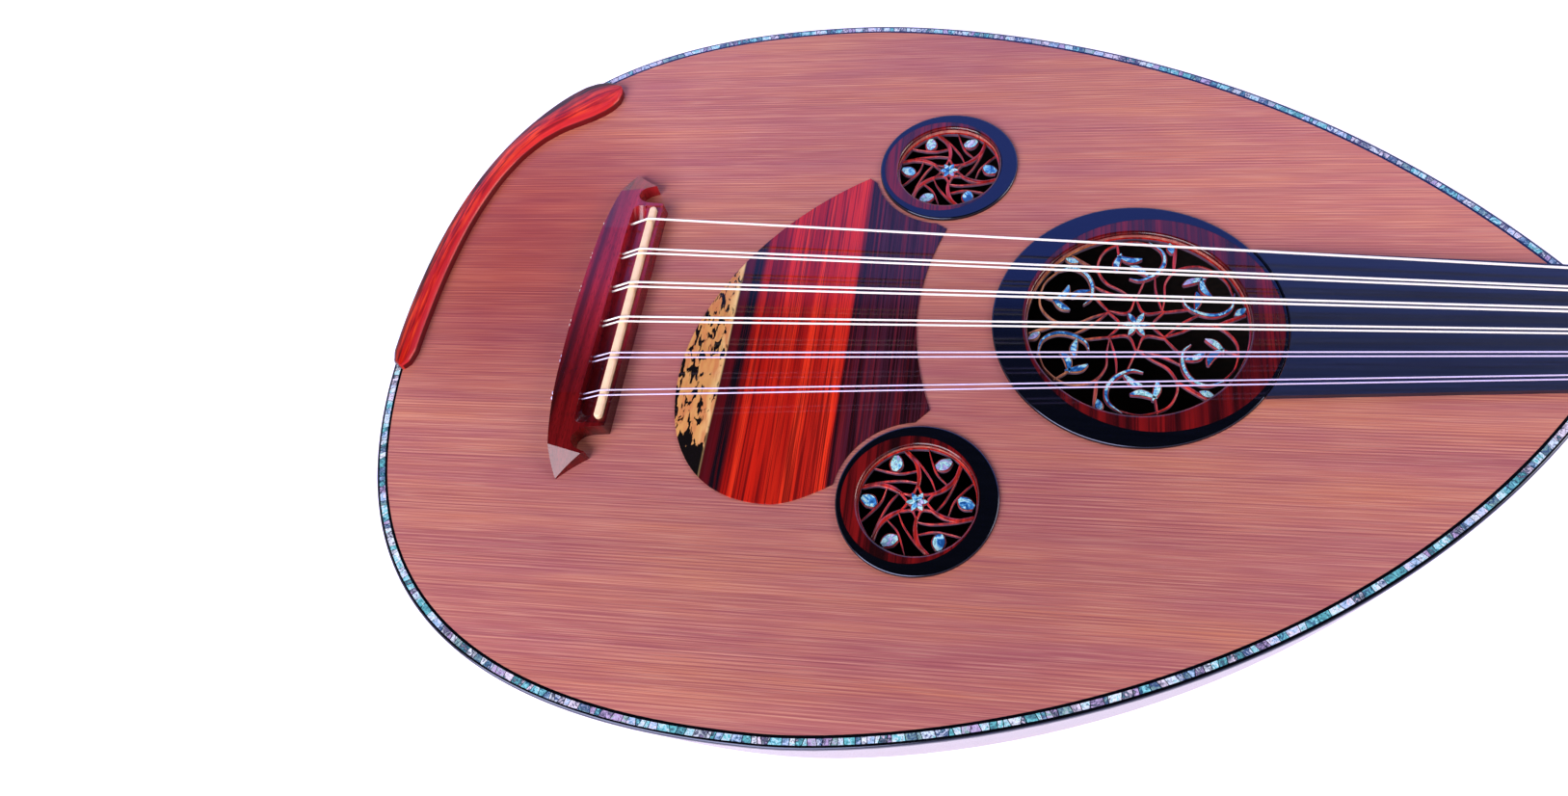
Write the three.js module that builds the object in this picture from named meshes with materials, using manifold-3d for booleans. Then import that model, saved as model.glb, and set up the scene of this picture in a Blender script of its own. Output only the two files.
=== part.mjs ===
// A fretless short-necked lute (oud) with eleven strings, lying on its back.
// Millimetres, +Z up. +X runs from the tail to the pegbox, +Y is the bass side.
// Inside the instrument the numbers are taken from the centre of the large sound hole, with z = 0
// on the face of the soundboard; the last lines move that point so that the whole instrument
// stands on z = 0 with the middle of its outer box over the origin.
import * as THREE from 'three';
import { mergeVertices } from 'three/addons/utils/BufferGeometryUtils.js';
import Module from 'manifold-3d';

const wasm = await Module();
wasm.setup();

// Driving sizes of the strings' layout
const scaleLength = 601.5; // vibrating string, saddle to nut
const saddleToHole = 227; // saddle to the centre of the large sound hole
const neckShare = 2 / 3; // the body joins the neck at two thirds of the scale from the saddle
const saddleX = -saddleToHole;
const jointX = saddleX + scaleLength * neckShare;
const nutX = saddleX + scaleLength;

// General clearances
const gap = 0.3; // between glued or seated pieces
const overrun = 2; // how far a cutting tool runs past what it cuts
const lean = 0.15; // half the joint between two ribs or either side of an inlaid strip

// Body outline, front view
const tailX = -339.6;
const widestX = -135.9;
const bodyHalfWidth = 188.5;
const jointHalfWidth = 29.8;
const shoulderAngle = THREE.MathUtils.degToRad(53); // slope of the outline where it meets the neck
const shoulderPullShare = 0.582; // Bezier handles, as shares of the front and back lengths
const frontPullShare = 0.112;
const backPullShare = 0.815;
const tailPullShare = 0.541;

// Bowl
const ribCount = 11;
const ribThickness = 3;
const bowlDepth = 185; // soundboard face to the flat of the middle rib
const restFlat = 3; // how much of the deepest band of the bowl is levelled, to lie on
const ribBackStations = 9;
const ribFrontStations = 9;
const claspRadius = 30; // the ribs end here, under the end clasp
const neckBlockLength = 34;
const tailBlockLength = 20;

// Soundboard
const boardThickness = 2;
const rebateDepth = 1.2; // step in the edge of the board that the binding sits on
const braceWidth = 6;
const braceHeight = 12;
const backBraceShares = [0.14, 0.42, 0.7, 0.98]; // from the tail block to the small holes
const frontBraceShares = [0.1, 0.65]; // from the large hole to the neck block

// Edge binding and its shell strip, as insets from the outline
const bindingWidth = 5;
const bindingLip = 0.7; // thickness of the lip that covers the board's edge
const bindingRound = 0.9;
const stripInner = 4.05; // far side of the groove
const stripOuter = 1.45; // near side of the groove
const stripDepth = 0.8;
const backStations = 11; // per side, tail to widest
const frontStations = 12; // per side, widest to neck
const backCrowding = 1.15; // stations crowd towards the tail, where the rim turns most

// Sound holes: a black ring, an eccentric red ring inside it and a fretwork rosette below
const ringHeight = 1.6;
const ringEdge = 0.6; // chamfer on the outer edge
const openingEdge = 1.1; // polished chamfer round the opening
const mainHole = { radius: 61.5, inlay: 54.4, opening: 46.7, shift: 5.8 };
const sideHole = { radius: 33, inlay: 28.1, opening: 24.3, shift: -2.8 };
const mainHoleSegments = 32;
const sideHoleSegments = 24;
const sideHoleX = -86.8;
const sideHoleY = 87.8;
const grilleThickness = 2.2;
const grilleRim = 2.2; // rim of the fretwork seen inside the opening
const grilleSeat = 4; // what the rosette reaches under the soundboard

// Fretwork of the rosettes
const vineWidth = 1.25;
const vineTaperShare = 0.45; // width of a stroke's end
const lobes = 6;
const mainLobeTurn = 30; // degrees from the neck's side to the first lobe
const sideLobeTurn = 33;

// Fingerboard, neck and nut
const fingerboardThickness = 2.5;
const fingerboardStartX = 47;
const fingerboardStartHalf = 36.8;
const nutHalfWidth = 18.2;
const neckDepthAtNut = 22;
const neckArcSteps = 12;
const nutThickness = 5;
const nutHeight = 3.6;
const nutSlotZ = 2.9; // bottom of the string slots
const nutShoulder = 1.2; // rounding of the nut's back and front edges
const slotClearance = 0.3;

// Pegbox
const pegboxBend = THREE.MathUtils.degToRad(50);
const pegboxLedge = 0.5; // neck that shows behind the nut
const pegboxDepth = 36; // at the neck
const pegboxTipDepth = 22;
const pegboxInnerHalf = 14.2; // at the neck
const pegboxTipInnerHalf = 9;
const cheekThickness = 5;
const cheekDrop = 4; // how much the cheeks start below the nut
const cheekRise = 26; // length in which they come up
const cheekRiseShare = [0.46, 0.3]; // a point of that curve
const tipRound = 6;
const footCut = 4; // corner of the tip that is cut level, to lie on
const tipBlockLength = 16;
const backThickness = 4;
const frontWall = 8;
const frontWallDrop = 6;

// Pegs
const pegFirst = 22; // first peg's place along the pegbox
const pegLast = 22; // last peg's distance from the tip block
const pegLevelShare = 0.42; // of the pegbox depth
const pegRadius = 4.1; // of the shaft in the middle of the pegbox
const pegTaper = 0.03; // radius gained per millimetre towards the head
const pegProud = 2; // how far the small end comes out
const pegStand = 5; // collar's distance from the cheek
const pegSides = 10;
const pegHoleSides = 8;
const pegHeadLength = 25;
const pegHeadHalfWidth = 9;
const pegHeadHalfThick = 4;
// Each row: place along the head, half width and half thickness, all as shares
const pegHeadShares = [
  [0.01, 0.7, 1.32], [0.1, 0.68, 1.28], [0.16, 0.45, 0.9], [0.48, 1, 0.94], [0.74, 0.92, 0.84],
  [0.9, 0.4, 0.6], [1, 0.2, 0.4],
];
const runningClearance = 0.3; // peg in its holes, string on its peg

// Strings, from the bass: radius of each, and what they share
const stringRadii = [0.55, 0.5, 0.5, 0.5, 0.5, 0.45, 0.45, 0.36, 0.36, 0.33, 0.33];
const stringCount = stringRadii.length;
const courseCount = Math.ceil((stringCount + 1) / 2);
const woundCourses = 4; // the others are plain nylon
const stringSpanAtSaddle = 96.3; // bass string to the middle of the treble course
const stringSpanAtNut = 28.2;
const stringOffsetAtSaddle = -0.1;
const stringOffsetAtNut = -0.4;
const pairGapAtSaddle = 2.55;
const pairGapAtNut = 1.5;
const tieHoleZ = 5.6;
const beadRadius = 1;
const beadLength = 1.4;
const windingTurns = 2;
const windingSteps = 12; // per turn
const windingGap = 0.45;
const stringSides = 5;
// Where on its peg's shaft each string arrives, from the nut outwards
const arrivalShares = [-0.9, 0.95, -0.78, 0.82, -0.66, 0.7, -0.56, 0.42, -0.34, 0.17, -0.16];
const arrivalSpan = 9;

// Bridge and saddle
const bridgeBackX = -251.9;
const bridgeFrontX = -222.3;
const bridgeY = -2; // middle of the bridge
const bridgeHalf = 84;
const bridgeHeight = 8.6;
const bridgeEdge = 1; // rounding of its top edge
const bridgeCurveSteps = 7;
const bridgeTipHeight = 1.2;
const bridgeTipLength = 9.5; // the sloping facet at either end
const channelBackX = -237.5;
const channelFrontX = -230.6;
const channelHalf = 60;
const channelFloor = 3.2;
const railTop = 6.9; // the rail in front of the channel, which the saddle is set into
const saddleWidth = 3.4;
const saddleHalf = 58.2;
const saddleY = -1.6;
const saddleSeatZ = 5.5;
const saddleTop = 9.1;
const saddleRound = 0.8;

// Pickguard, a thin plate between the bridge and the holes
const guardThickness = 0.7;
const guardRingGap = 2.2;
const guardTop = [-124.1, 80.4];
const guardLeft = [-197.9, -31.7];
const guardLow = [-147.9, -93];
const guardHornX = -84.8;
const guardHornTopY = 49.5;
const guardHornLowY = -46.8;
const guardHollow = 19; // how far the front edge's control point lies behind the horns
const guardLowArc = { from: 172, to: 95 }; // degrees round the treble hole
const guardTopArc = { from: 265, to: 196 }; // degrees round the bass hole
const guardPulls = { topX: 50.1, topY: 29.2, left: 33.5, leftLow: 36, low: 33, lowEnd: 10 };

// Armrest, along the rim on the bass side of the tail
const armStart = -34; // along the rim from the tail, negative on the treble side
const armEnd = 176;
const armWidth = 23.5;
const armHeight = 4.2;
const armEdgeHeight = 2.6;
const armCrown = 1.6; // width of the rounding on either side
// Each row: place along the armrest, outer and inner edge as shares of armWidth
const armShares = [
  [0, 0.2, 0.28], [0.012, 0.06, 0.4], [0.04, 0, 0.47], [0.15, 0, 0.49], [0.3, 0, 0.49], [0.45, 0, 0.48],
  [0.57, 0, 0.48], [0.66, 0, 0.52], [0.73, 0, 0.6], [0.79, 0, 0.74], [0.84, 0, 0.9], [0.88, 0.01, 1],
  [0.92, 0.04, 1.04], [0.95, 0.12, 1.02], [0.975, 0.24, 0.94], [0.992, 0.4, 0.8], [1, 0.55, 0.66],
];

// Colours from the photograph
function wood(colour, roughness) {
  return new THREE.MeshStandardMaterial({ color: colour, roughness, metalness: 0 });
}
const cedar = wood(0xb4645a, 0.5);
const ebony = wood(0x14161f, 0.3);
const cocobolo = wood(0x7a1016, 0.3);
const padauk = wood(0xc02a1c, 0.35);
const rosewood = wood(0x2a1410, 0.4);
const spruce = wood(0xc9a878, 0.7);
const bone = wood(0xffe0b0, 0.4);
const shell = wood(0xa8c8d0, 0.2);
const woundString = wood(0xf2ead8, 0.4);
const nylonString = wood(0xd8c8f0, 0.3);

const instrument = new THREE.Group();

function addMesh(name, geometry, material) {
  const mesh = new THREE.Mesh(geometry, material);
  mesh.name = name;
  instrument.add(mesh);
  return mesh;
}

// A closed surface from points and triangles, turned so that its faces point out
function closedGeometry(points, triangles) {
  let volume = 0;
  for (const [a, b, c] of triangles) {
    volume += points[a].dot(new THREE.Vector3().crossVectors(points[b], points[c]));
  }
  const index = triangles.flatMap(([a, b, c]) => (volume > 0 ? [a, b, c] : [a, c, b]));
  const geometry = new THREE.BufferGeometry().setFromPoints(points);
  geometry.setIndex(index);
  return geometry;
}

function fanCap(count) {
  const cap = [];
  for (let i = 1; i < count - 1; i += 1) {
    cap.push([0, i, i + 1]);
  }
  return cap;
}

// Skin over rings of equally many points; the ends are closed unless the rings run round
function loft(rings, options = {}) {
  const count = rings[0].length;
  const points = rings.flat();
  const triangles = [];
  const last = options.round ? rings.length : rings.length - 1;
  for (let i = 0; i < last; i += 1) {
    const here = i * count;
    const next = ((i + 1) % rings.length) * count;
    for (let j = 0; j < count; j += 1) {
      const k = (j + 1) % count;
      triangles.push([here + j, here + k, next + k], [here + j, next + k, next + j]);
    }
  }
  if (!options.round) {
    const cap = options.cap ?? fanCap(count);
    const end = (rings.length - 1) * count;
    for (const [a, b, c] of cap) {
      triangles.push([a, c, b], [end + a, end + b, end + c]);
    }
  }
  return closedGeometry(points, triangles);
}

// Triangles that fill a flat polygon, turning the same way round as its points do
function polygonCap(polygon) {
  const contour = polygon.map(([x, y]) => new THREE.Vector2(x, y));
  const cap = THREE.ShapeUtils.triangulateShape(contour, []);
  const around = THREE.ShapeUtils.area(contour);
  const across = THREE.ShapeUtils.area(cap[0].map((corner) => contour[corner]));
  return around * across > 0 ? cap : cap.map(([a, b, c]) => [a, c, b]);
}

function toSolid(geometry) {
  const bare = geometry.clone();
  bare.deleteAttribute('normal');
  bare.deleteAttribute('uv');
  const merged = mergeVertices(bare);
  const vertProperties = new Float32Array(merged.attributes.position.array);
  const triVerts = new Uint32Array(merged.index.array);
  return new wasm.Manifold(new wasm.Mesh({ numProp: 3, vertProperties, triVerts }));
}

function toGeometry(solid) {
  const mesh = solid.getMesh();
  const geometry = new THREE.BufferGeometry();
  geometry.setAttribute('position', new THREE.BufferAttribute(new Float32Array(mesh.vertProperties), 3));
  geometry.setIndex([...mesh.triVerts]);
  return geometry;
}

function boxSolid(low, high) {
  const size = new THREE.Vector3(...high).sub(new THREE.Vector3(...low));
  const middle = new THREE.Vector3(...low).addScaledVector(size, 0.5);
  const geometry = new THREE.BoxGeometry(size.x, size.y, size.z);
  geometry.translate(middle.x, middle.y, middle.z);
  return toSolid(geometry);
}

function plate(shape, lowZ, highZ, curveSegments) {
  const geometry = new THREE.ExtrudeGeometry(shape, {
    depth: highZ - lowZ,
    bevelEnabled: false,
    curveSegments,
  });
  geometry.translate(0, 0, lowZ);
  return geometry;
}

// Outline of the body: one side from the tail to the neck joint, as two Bezier spans
const frontLength = jointX - widestX;
const backLength = widestX - tailX;
const bodySide = new THREE.CurvePath();
bodySide.add(new THREE.CubicBezierCurve(
  new THREE.Vector2(tailX, 0),
  new THREE.Vector2(tailX, bodyHalfWidth * tailPullShare),
  new THREE.Vector2(widestX - backLength * backPullShare, bodyHalfWidth),
  new THREE.Vector2(widestX, bodyHalfWidth),
));
const shoulderPull = frontLength * shoulderPullShare;
bodySide.add(new THREE.CubicBezierCurve(
  new THREE.Vector2(widestX, bodyHalfWidth),
  new THREE.Vector2(widestX + frontLength * frontPullShare, bodyHalfWidth),
  new THREE.Vector2(
    jointX - shoulderPull * Math.cos(shoulderAngle),
    jointHalfWidth + shoulderPull * Math.sin(shoulderAngle),
  ),
  new THREE.Vector2(jointX, jointHalfWidth),
));
const sideLength = bodySide.getLength();
const backShareOfSide = bodySide.getCurveLengths()[0] / sideLength;

// Shares of the side's length, with one station at the widest place
function sideShares(back, front) {
  const shares = [];
  for (let i = 0; i < back; i += 1) {
    shares.push((i / back) ** backCrowding * backShareOfSide);
  }
  for (let i = 0; i <= front; i += 1) {
    shares.push(THREE.MathUtils.lerp(backShareOfSide, 1, i / front));
  }
  return shares;
}

// A point of the rim at a signed distance from the tail, moved in by inset
function rimPoint(along, inset) {
  const share = Math.min(1, Math.abs(along) / sideLength);
  const point = bodySide.getPointAt(share);
  const tangent = bodySide.getTangentAt(share);
  const side = along < 0 ? -1 : 1;
  const x = point.x + tangent.y * inset;
  const y = point.y - tangent.x * inset;
  return new THREE.Vector2(x, side * y);
}

function rimPlaces() {
  const bass = sideShares(backStations, frontStations).map((share) => share * sideLength);
  const treble = bass.slice(1).reverse().map((place) => -place);
  return [...treble, ...bass];
}

function outlineShape(inset, endX) {
  const points = rimPlaces().map((along) => rimPoint(along, inset)).reverse();
  const end = points[0];
  const shape = new THREE.Shape(points);
  shape.lineTo(endX, -end.y);
  shape.lineTo(endX, end.y);
  return shape;
}

// Profile of the bowl: stations along the body with the radius of the round section
const depthRatio = (bowlDepth + restFlat) / (bodyHalfWidth * Math.cos(Math.PI / ribCount / 2));

function bowlProfile(inset) {
  return sideShares(ribBackStations, ribFrontStations).map((share) => {
    const point = bodySide.getPointAt(share);
    const tangent = bodySide.getTangentAt(share);
    return { x: point.x + tangent.y * inset, radius: point.y - tangent.x * inset };
  });
}

// The point where the profile passes a given outer radius near the tail
function profileAtRadius(stationsOuter, stationsInner, radius) {
  const i = stationsOuter.findIndex((station) => station.radius > radius);
  const [a, b] = [stationsOuter[i - 1], stationsOuter[i]];
  const share = (radius - a.radius) / (b.radius - a.radius);
  const mix = (p, q) => ({
    x: THREE.MathUtils.lerp(p.x, q.x, share),
    radius: THREE.MathUtils.lerp(p.radius, q.radius, share),
  });
  return { index: i, outer: mix(a, b), inner: mix(stationsInner[i - 1], stationsInner[i]) };
}

const outerProfile = bowlProfile(0);
const innerProfile = bowlProfile(ribThickness);
const claspCut = profileAtRadius(outerProfile, innerProfile, claspRadius);
const ribTopZ = -boardThickness - gap;

function bowlPoint(station, angle) {
  return new THREE.Vector3(
    station.x,
    station.radius * Math.cos(angle),
    -station.radius * Math.sin(angle) * depthRatio,
  );
}

// One side of a rib at a station, pulled in from the joint and stopped below the soundboard
function ribEdge(station, angle, otherAngle) {
  const from = bowlPoint(station, angle);
  const to = bowlPoint(station, otherAngle);
  const length = from.distanceTo(to);
  let share = lean / length;
  if (from.z > ribTopZ) {
    share = Math.max(share, (from.z - ribTopZ) / (from.z - to.z));
  }
  return from.lerp(to, share);
}

function ribGeometry(index) {
  const step = Math.PI / ribCount;
  const [start, end] = [index * step, (index + 1) * step];
  const outer = [claspCut.outer, ...outerProfile.slice(claspCut.index)];
  const inner = [claspCut.inner, ...innerProfile.slice(claspCut.index)];
  const neckEnd = jointX - gap;
  const rings = outer.map((station, i) => {
    const ring = [
      ribEdge(station, start, end),
      ribEdge(station, end, start),
      ribEdge(inner[i], end, start),
      ribEdge(inner[i], start, end),
    ];
    ring.forEach((point, corner) => {
      point.x = Math.min(point.x, neckEnd);
      point.z = Math.max(point.z, -bowlDepth + (corner < 2 ? 0 : ribThickness));
    });
    return ring;
  });
  return loft(rings);
}

function addRibs() {
  for (let i = 0; i < ribCount; i += 1) {
    const name = `rib_${String(i + 1).padStart(2, '0')}`;
    addMesh(name, ribGeometry(i), i % 2 === 0 ? rosewood : ebony);
  }
}

// A solid turned about the X axis from a profile, faceted and deepened as the bowl is
function turnedSolid(profile) {
  const points = profile.map(({ x, radius }) => new THREE.Vector2(Math.max(radius, 0), x));
  const geometry = new THREE.LatheGeometry(points, ribCount * 2);
  geometry.rotateZ(-Math.PI / 2);
  geometry.rotateX(Math.PI / 2);
  geometry.scale(1, 1, depthRatio);
  const position = geometry.attributes.position;
  const flat = new THREE.BufferGeometry();
  flat.setAttribute('position', position);
  flat.setIndex(geometry.index);
  return toSolid(turnedOut(flat));
}

// The same surface with its faces pointing out
function turnedOut(geometry) {
  const merged = mergeVertices(geometry);
  const position = merged.attributes.position;
  const points = [];
  for (let i = 0; i < position.count; i += 1) {
    points.push(new THREE.Vector3().fromBufferAttribute(position, i));
  }
  const triangles = [];
  for (let i = 0; i < merged.index.count; i += 3) {
    const triangle = [0, 1, 2].map((corner) => merged.index.getX(i + corner));
    if (new Set(triangle).size === 3) {
      triangles.push(triangle);
    }
  }
  return closedGeometry(points, triangles);
}

// Everything of a solid below a height and between two places along the body
function trimmed(solid, lowX, highX, topZ) {
  const reach = bodyHalfWidth + overrun;
  return solid.intersect(boxSolid([lowX, -reach, -bowlDepth - overrun], [highX, reach, topZ]));
}

function addClaspAndBlocks() {
  const outer = outerProfile.slice(0, claspCut.index);
  const inner = innerProfile.slice(0, claspCut.index).reverse();
  const edge = (end, other) => ({
    x: THREE.MathUtils.lerp(end.x, other.x, gap / claspRadius),
    radius: end.radius - gap,
  });
  const outerEdge = edge(claspCut.outer, outer[outer.length - 1]);
  const innerEdge = edge(claspCut.inner, inner[0]);
  const innerPole = { x: tailX + ribThickness, radius: 0 };
  const profile = [{ x: tailX, radius: 0 }, ...outer.slice(1), outerEdge, innerEdge];
  profile.push(...inner.filter((station) => station.radius > gap), innerPole);
  const clasp = trimmed(turnedSolid(profile), tailX - overrun, 0, ribTopZ);
  addMesh('end_clasp', toGeometry(clasp), ebony);

  const core = bowlProfile(ribThickness + gap);
  const coreProfile = [
    { x: tailX + ribThickness + gap, radius: 0 },
    ...core.filter((station) => station.radius > gap && station.x < jointX - gap),
  ];
  const coreEnd = { x: jointX - gap, radius: jointHalfWidth - ribThickness - gap };
  coreProfile.push(coreEnd, { x: coreEnd.x, radius: 0 });
  const coreSolid = turnedSolid(coreProfile);
  const tailBlock = trimmed(coreSolid, tailX, tailX + ribThickness + tailBlockLength, -boardThickness);
  const neckBlock = trimmed(coreSolid, jointX - neckBlockLength, jointX, -boardThickness);
  addMesh('tail_block', toGeometry(tailBlock), spruce);
  addMesh('neck_block', toGeometry(neckBlock), spruce);
}

function circlePath(x, y, radius) {
  const path = new THREE.Path();
  path.absarc(x, y, radius, 0, Math.PI * 2, true);
  return path;
}

function holeCentre(hole, side) {
  return side === 0 ? [0, 0] : [sideHoleX, side * sideHoleY];
}

const holes = [
  { name: 'main', hole: mainHole, side: 0, segments: mainHoleSegments },
  { name: 'bass', hole: sideHole, side: 1, segments: sideHoleSegments },
  { name: 'treble', hole: sideHole, side: -1, segments: sideHoleSegments },
];

// Half the length of a brace: it stops short of the ribs at its own depth
function braceHalf(x) {
  const station = bowlProfile(ribThickness).reduce((best, each) => (
    Math.abs(each.x - x) < Math.abs(best.x - x) ? each : best
  ));
  return Math.sqrt(Math.max(0, station.radius ** 2 - (braceHeight * 2) ** 2)) - braceHeight;
}

// Braces stand clear of the blocks and of the rosettes glued under the holes
function bracePlaces() {
  const clear = grilleSeat + gap + braceWidth / 2;
  const tailEnd = tailX + ribThickness + tailBlockLength + braceWidth / 2;
  const backHoles = sideHoleX - sideHole.opening - clear;
  const frontHole = mainHole.opening + clear;
  const neckEnd = jointX - neckBlockLength - braceWidth / 2;
  return [
    ...backBraceShares.map((share) => THREE.MathUtils.lerp(tailEnd, backHoles, share)),
    ...frontBraceShares.map((share) => THREE.MathUtils.lerp(frontHole, neckEnd, share)),
  ];
}

function addSoundboard() {
  const edgeInset = bindingWidth + gap;
  const lowerInset = bindingLip + gap;
  const endX = jointX - gap;
  const lower = outlineShape(lowerInset, endX);
  const upper = outlineShape(edgeInset, endX);
  for (const { hole, side } of holes) {
    const [x, y] = holeCentre(hole, side);
    for (const shape of [lower, upper]) {
      shape.holes.push(circlePath(x, y, hole.opening + gap));
    }
  }
  const lowerLayer = toSolid(plate(lower, -boardThickness, -rebateDepth, mainHoleSegments / 2));
  const upperLayer = toSolid(plate(upper, -rebateDepth, 0, mainHoleSegments / 2));
  let board = lowerLayer.add(upperLayer);
  for (const x of bracePlaces()) {
    const half = braceHalf(x);
    const low = [x - braceWidth / 2, -half, -boardThickness - braceHeight];
    board = board.add(boxSolid(low, [x + braceWidth / 2, half, -boardThickness + rebateDepth / 2]));
  }
  addMesh('soundboard', toGeometry(board), cedar);
}

// A strip that follows the rim; its section is given as insets and heights
function rimStrip(section) {
  const rings = rimPlaces().map((along) => section.map(([inset, z]) => {
    const point = rimPoint(along, inset);
    return new THREE.Vector3(Math.min(point.x, jointX - gap), point.y, z);
  }));
  return loft(rings, { cap: polygonCap(section) });
}

function addBinding() {
  const chamferShare = 0.3;
  const binding = [
    [bindingWidth, -rebateDepth], [bindingWidth, 0], [stripInner, 0], [stripInner, -stripDepth],
    [stripOuter, -stripDepth], [stripOuter, 0], [bindingRound, 0],
    [bindingRound * chamferShare, -bindingRound * chamferShare], [0, -bindingRound],
    [0, -boardThickness], [bindingLip, -boardThickness], [bindingLip, -rebateDepth],
  ];
  addMesh('edge_binding', rimStrip(binding), ebony);
  const strip = [
    [stripInner - lean, -stripDepth], [stripInner - lean, 0], [stripOuter + lean, 0],
    [stripOuter + lean, -stripDepth],
  ];
  addMesh('edge_purfling', rimStrip(strip), shell);
}

// A flat ring between two circles that need not share a centre
function ringGeometry(outer, inner, lowZ, highZ, segments) {
  const rings = [];
  for (let i = 0; i < segments; i += 1) {
    const angle = (i / segments) * Math.PI * 2;
    const at = (circle, change, z) => new THREE.Vector3(
      circle.x + (circle.radius + change) * Math.cos(angle),
      circle.y + (circle.radius + change) * Math.sin(angle),
      z,
    );
    const ring = [at(outer, 0, lowZ)];
    if (outer.edge > 0) {
      ring.push(at(outer, 0, highZ - outer.edge), at(outer, -outer.edge, highZ));
    } else {
      ring.push(at(outer, 0, highZ));
    }
    if (inner.edge > 0) {
      ring.push(at(inner, inner.edge, highZ), at(inner, 0, highZ - inner.edge));
    } else {
      ring.push(at(inner, 0, highZ));
    }
    ring.push(at(inner, 0, lowZ));
    rings.push(ring);
  }
  return loft(rings, { round: true });
}

function addRings() {
  for (const { name, hole, side, segments } of holes) {
    const [x, y] = holeCentre(hole, side);
    const rim = { x, y, radius: hole.radius, edge: ringEdge };
    const seam = { x: x + hole.shift, y, radius: hole.inlay, edge: 0 };
    const inlay = { ...seam, radius: hole.inlay - gap };
    const opening = { x, y, radius: hole.opening, edge: openingEdge };
    addMesh(`${name}_ring`, ringGeometry(rim, seam, 0, ringHeight, segments), ebony);
    addMesh(`${name}_ring_inlay`, ringGeometry(inlay, opening, 0, ringHeight, segments), cocobolo);
  }
}

// A stroke of fretwork: a ribbon along a plane curve, wide in the middle and narrow at its ends
function strokeSolid(points, width, lowZ, highZ, steps, ends = vineTaperShare) {
  const curve = new THREE.CatmullRomCurve3(points.map(([x, y]) => new THREE.Vector3(x, y, 0)));
  const left = [];
  const right = [];
  for (let i = 0; i <= steps; i += 1) {
    const share = i / steps;
    const point = curve.getPoint(share);
    const tangent = curve.getTangent(share);
    const half = (width / 2) * (ends + (1 - ends) * Math.sin(Math.PI * share));
    left.push(new THREE.Vector2(point.x - tangent.y * half, point.y + tangent.x * half));
    right.push(new THREE.Vector2(point.x + tangent.y * half, point.y - tangent.x * half));
  }
  return toSolid(plate(new THREE.Shape([...left, ...right.reverse()]), lowZ, highZ, 1));
}

function polar(radius, degrees) {
  const angle = THREE.MathUtils.degToRad(degrees);
  return [radius * Math.cos(angle), radius * Math.sin(angle)];
}

// Turns a list of [radius share, degrees] into points
function polarPoints(shares, radius, turn) {
  return shares.map(([share, degrees]) => polar(share * radius, degrees + turn));
}

// Strokes of one lobe of the large rosette: a vine round the lobe, the wide crescent that it turns
// into with a leaf, a bud of two leaves on a stem, a drop and a tie on the rim, three thin vines
// round the star, and a petal of the flower in it. Each place is a share of the opening's radius
// and an angle.
const mainStrokeShares = [
  {
    widthShare: 1,
    steps: 8,
    path: [[0.27, 0], [0.4, 19], [0.55, 30], [0.74, 28], [0.9, 17], [0.955, 2], [0.93, -11]],
  },
  {
    widthShare: 2.6,
    steps: 6,
    path: [[0.955, -8], [0.87, -17], [0.74, -21], [0.6, -18], [0.5, -6], [0.52, 6]],
  },
  { widthShare: 2.2, steps: 2, path: [[0.56, -12], [0.63, -3], [0.66, 4]] },
  { widthShare: 1, steps: 1, path: [[0.96, 10], [0.78, 11]] },
  { widthShare: 2.3, steps: 2, path: [[0.8, 12], [0.73, 3], [0.75, -5]] },
  { widthShare: 2.3, steps: 2, path: [[0.82, 9], [0.71, 14], [0.62, 16]] },
  { widthShare: 2.6, steps: 2, path: [[0.99, -19], [0.88, -23]] },
  { widthShare: 1.6, steps: 2, path: [[0.98, 37], [0.83, 34], [0.68, 29]] },
  { widthShare: 0.9, steps: 2, path: [[0.28, 2], [0.42, 34], [0.58, 42]] },
  { widthShare: 0.9, steps: 2, path: [[0.28, 0], [0.41, -7], [0.52, -10]] },
  { widthShare: 1, steps: 2, path: [[0.3, 0], [0.15, 30], [0.3, 60]] },
  { widthShare: 3.2, steps: 1, path: [[0, 30], [0.16, 30]] },
];

// Strokes of one lobe of a small rosette: a pinwheel arm, two sickles, a drop, the star's edge
// and a petal of the flower in it
const sideStrokeShares = [
  { widthShare: 2.2, steps: 3, path: [[0.25, 0], [0.5, -2], [0.76, 4], [0.98, 14]] },
  { widthShare: 0.9, steps: 3, path: [[0.36, 3], [0.47, 33], [0.72, 59], [0.97, 71]] },
  { widthShare: 0.9, steps: 3, path: [[0.58, 3], [0.6, 28], [0.76, 42], [0.98, 50]] },
  { widthShare: 4.6, steps: 2, path: [[0.79, 27], [0.97, 26]] },
  { widthShare: 1.1, steps: 2, path: [[0.34, 0], [0.17, 30], [0.34, 60]] },
  { widthShare: 2.6, steps: 1, path: [[0, 30], [0.18, 30]] },
];

function rosetteSolid(hole, x, y, strokes, firstTurn, sides) {
  const top = -boardThickness;
  const bottom = top - grilleThickness;
  const rim = new THREE.Shape();
  rim.absarc(0, 0, hole.opening + grilleSeat, 0, Math.PI * 2, false);
  rim.holes.push(circlePath(0, 0, hole.opening - grilleRim));
  let solid = toSolid(plate(rim, bottom, top, sides));
  for (let lobe = 0; lobe < lobes; lobe += 1) {
    const turn = firstTurn + (lobe / lobes) * 360;
    for (const { widthShare, steps, path } of strokes) {
      const points = polarPoints(path, hole.opening, turn);
      solid = solid.add(strokeSolid(points, widthShare * vineWidth, bottom, top, steps));
    }
  }
  return solid.translate([x, y, 0]);
}

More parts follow.
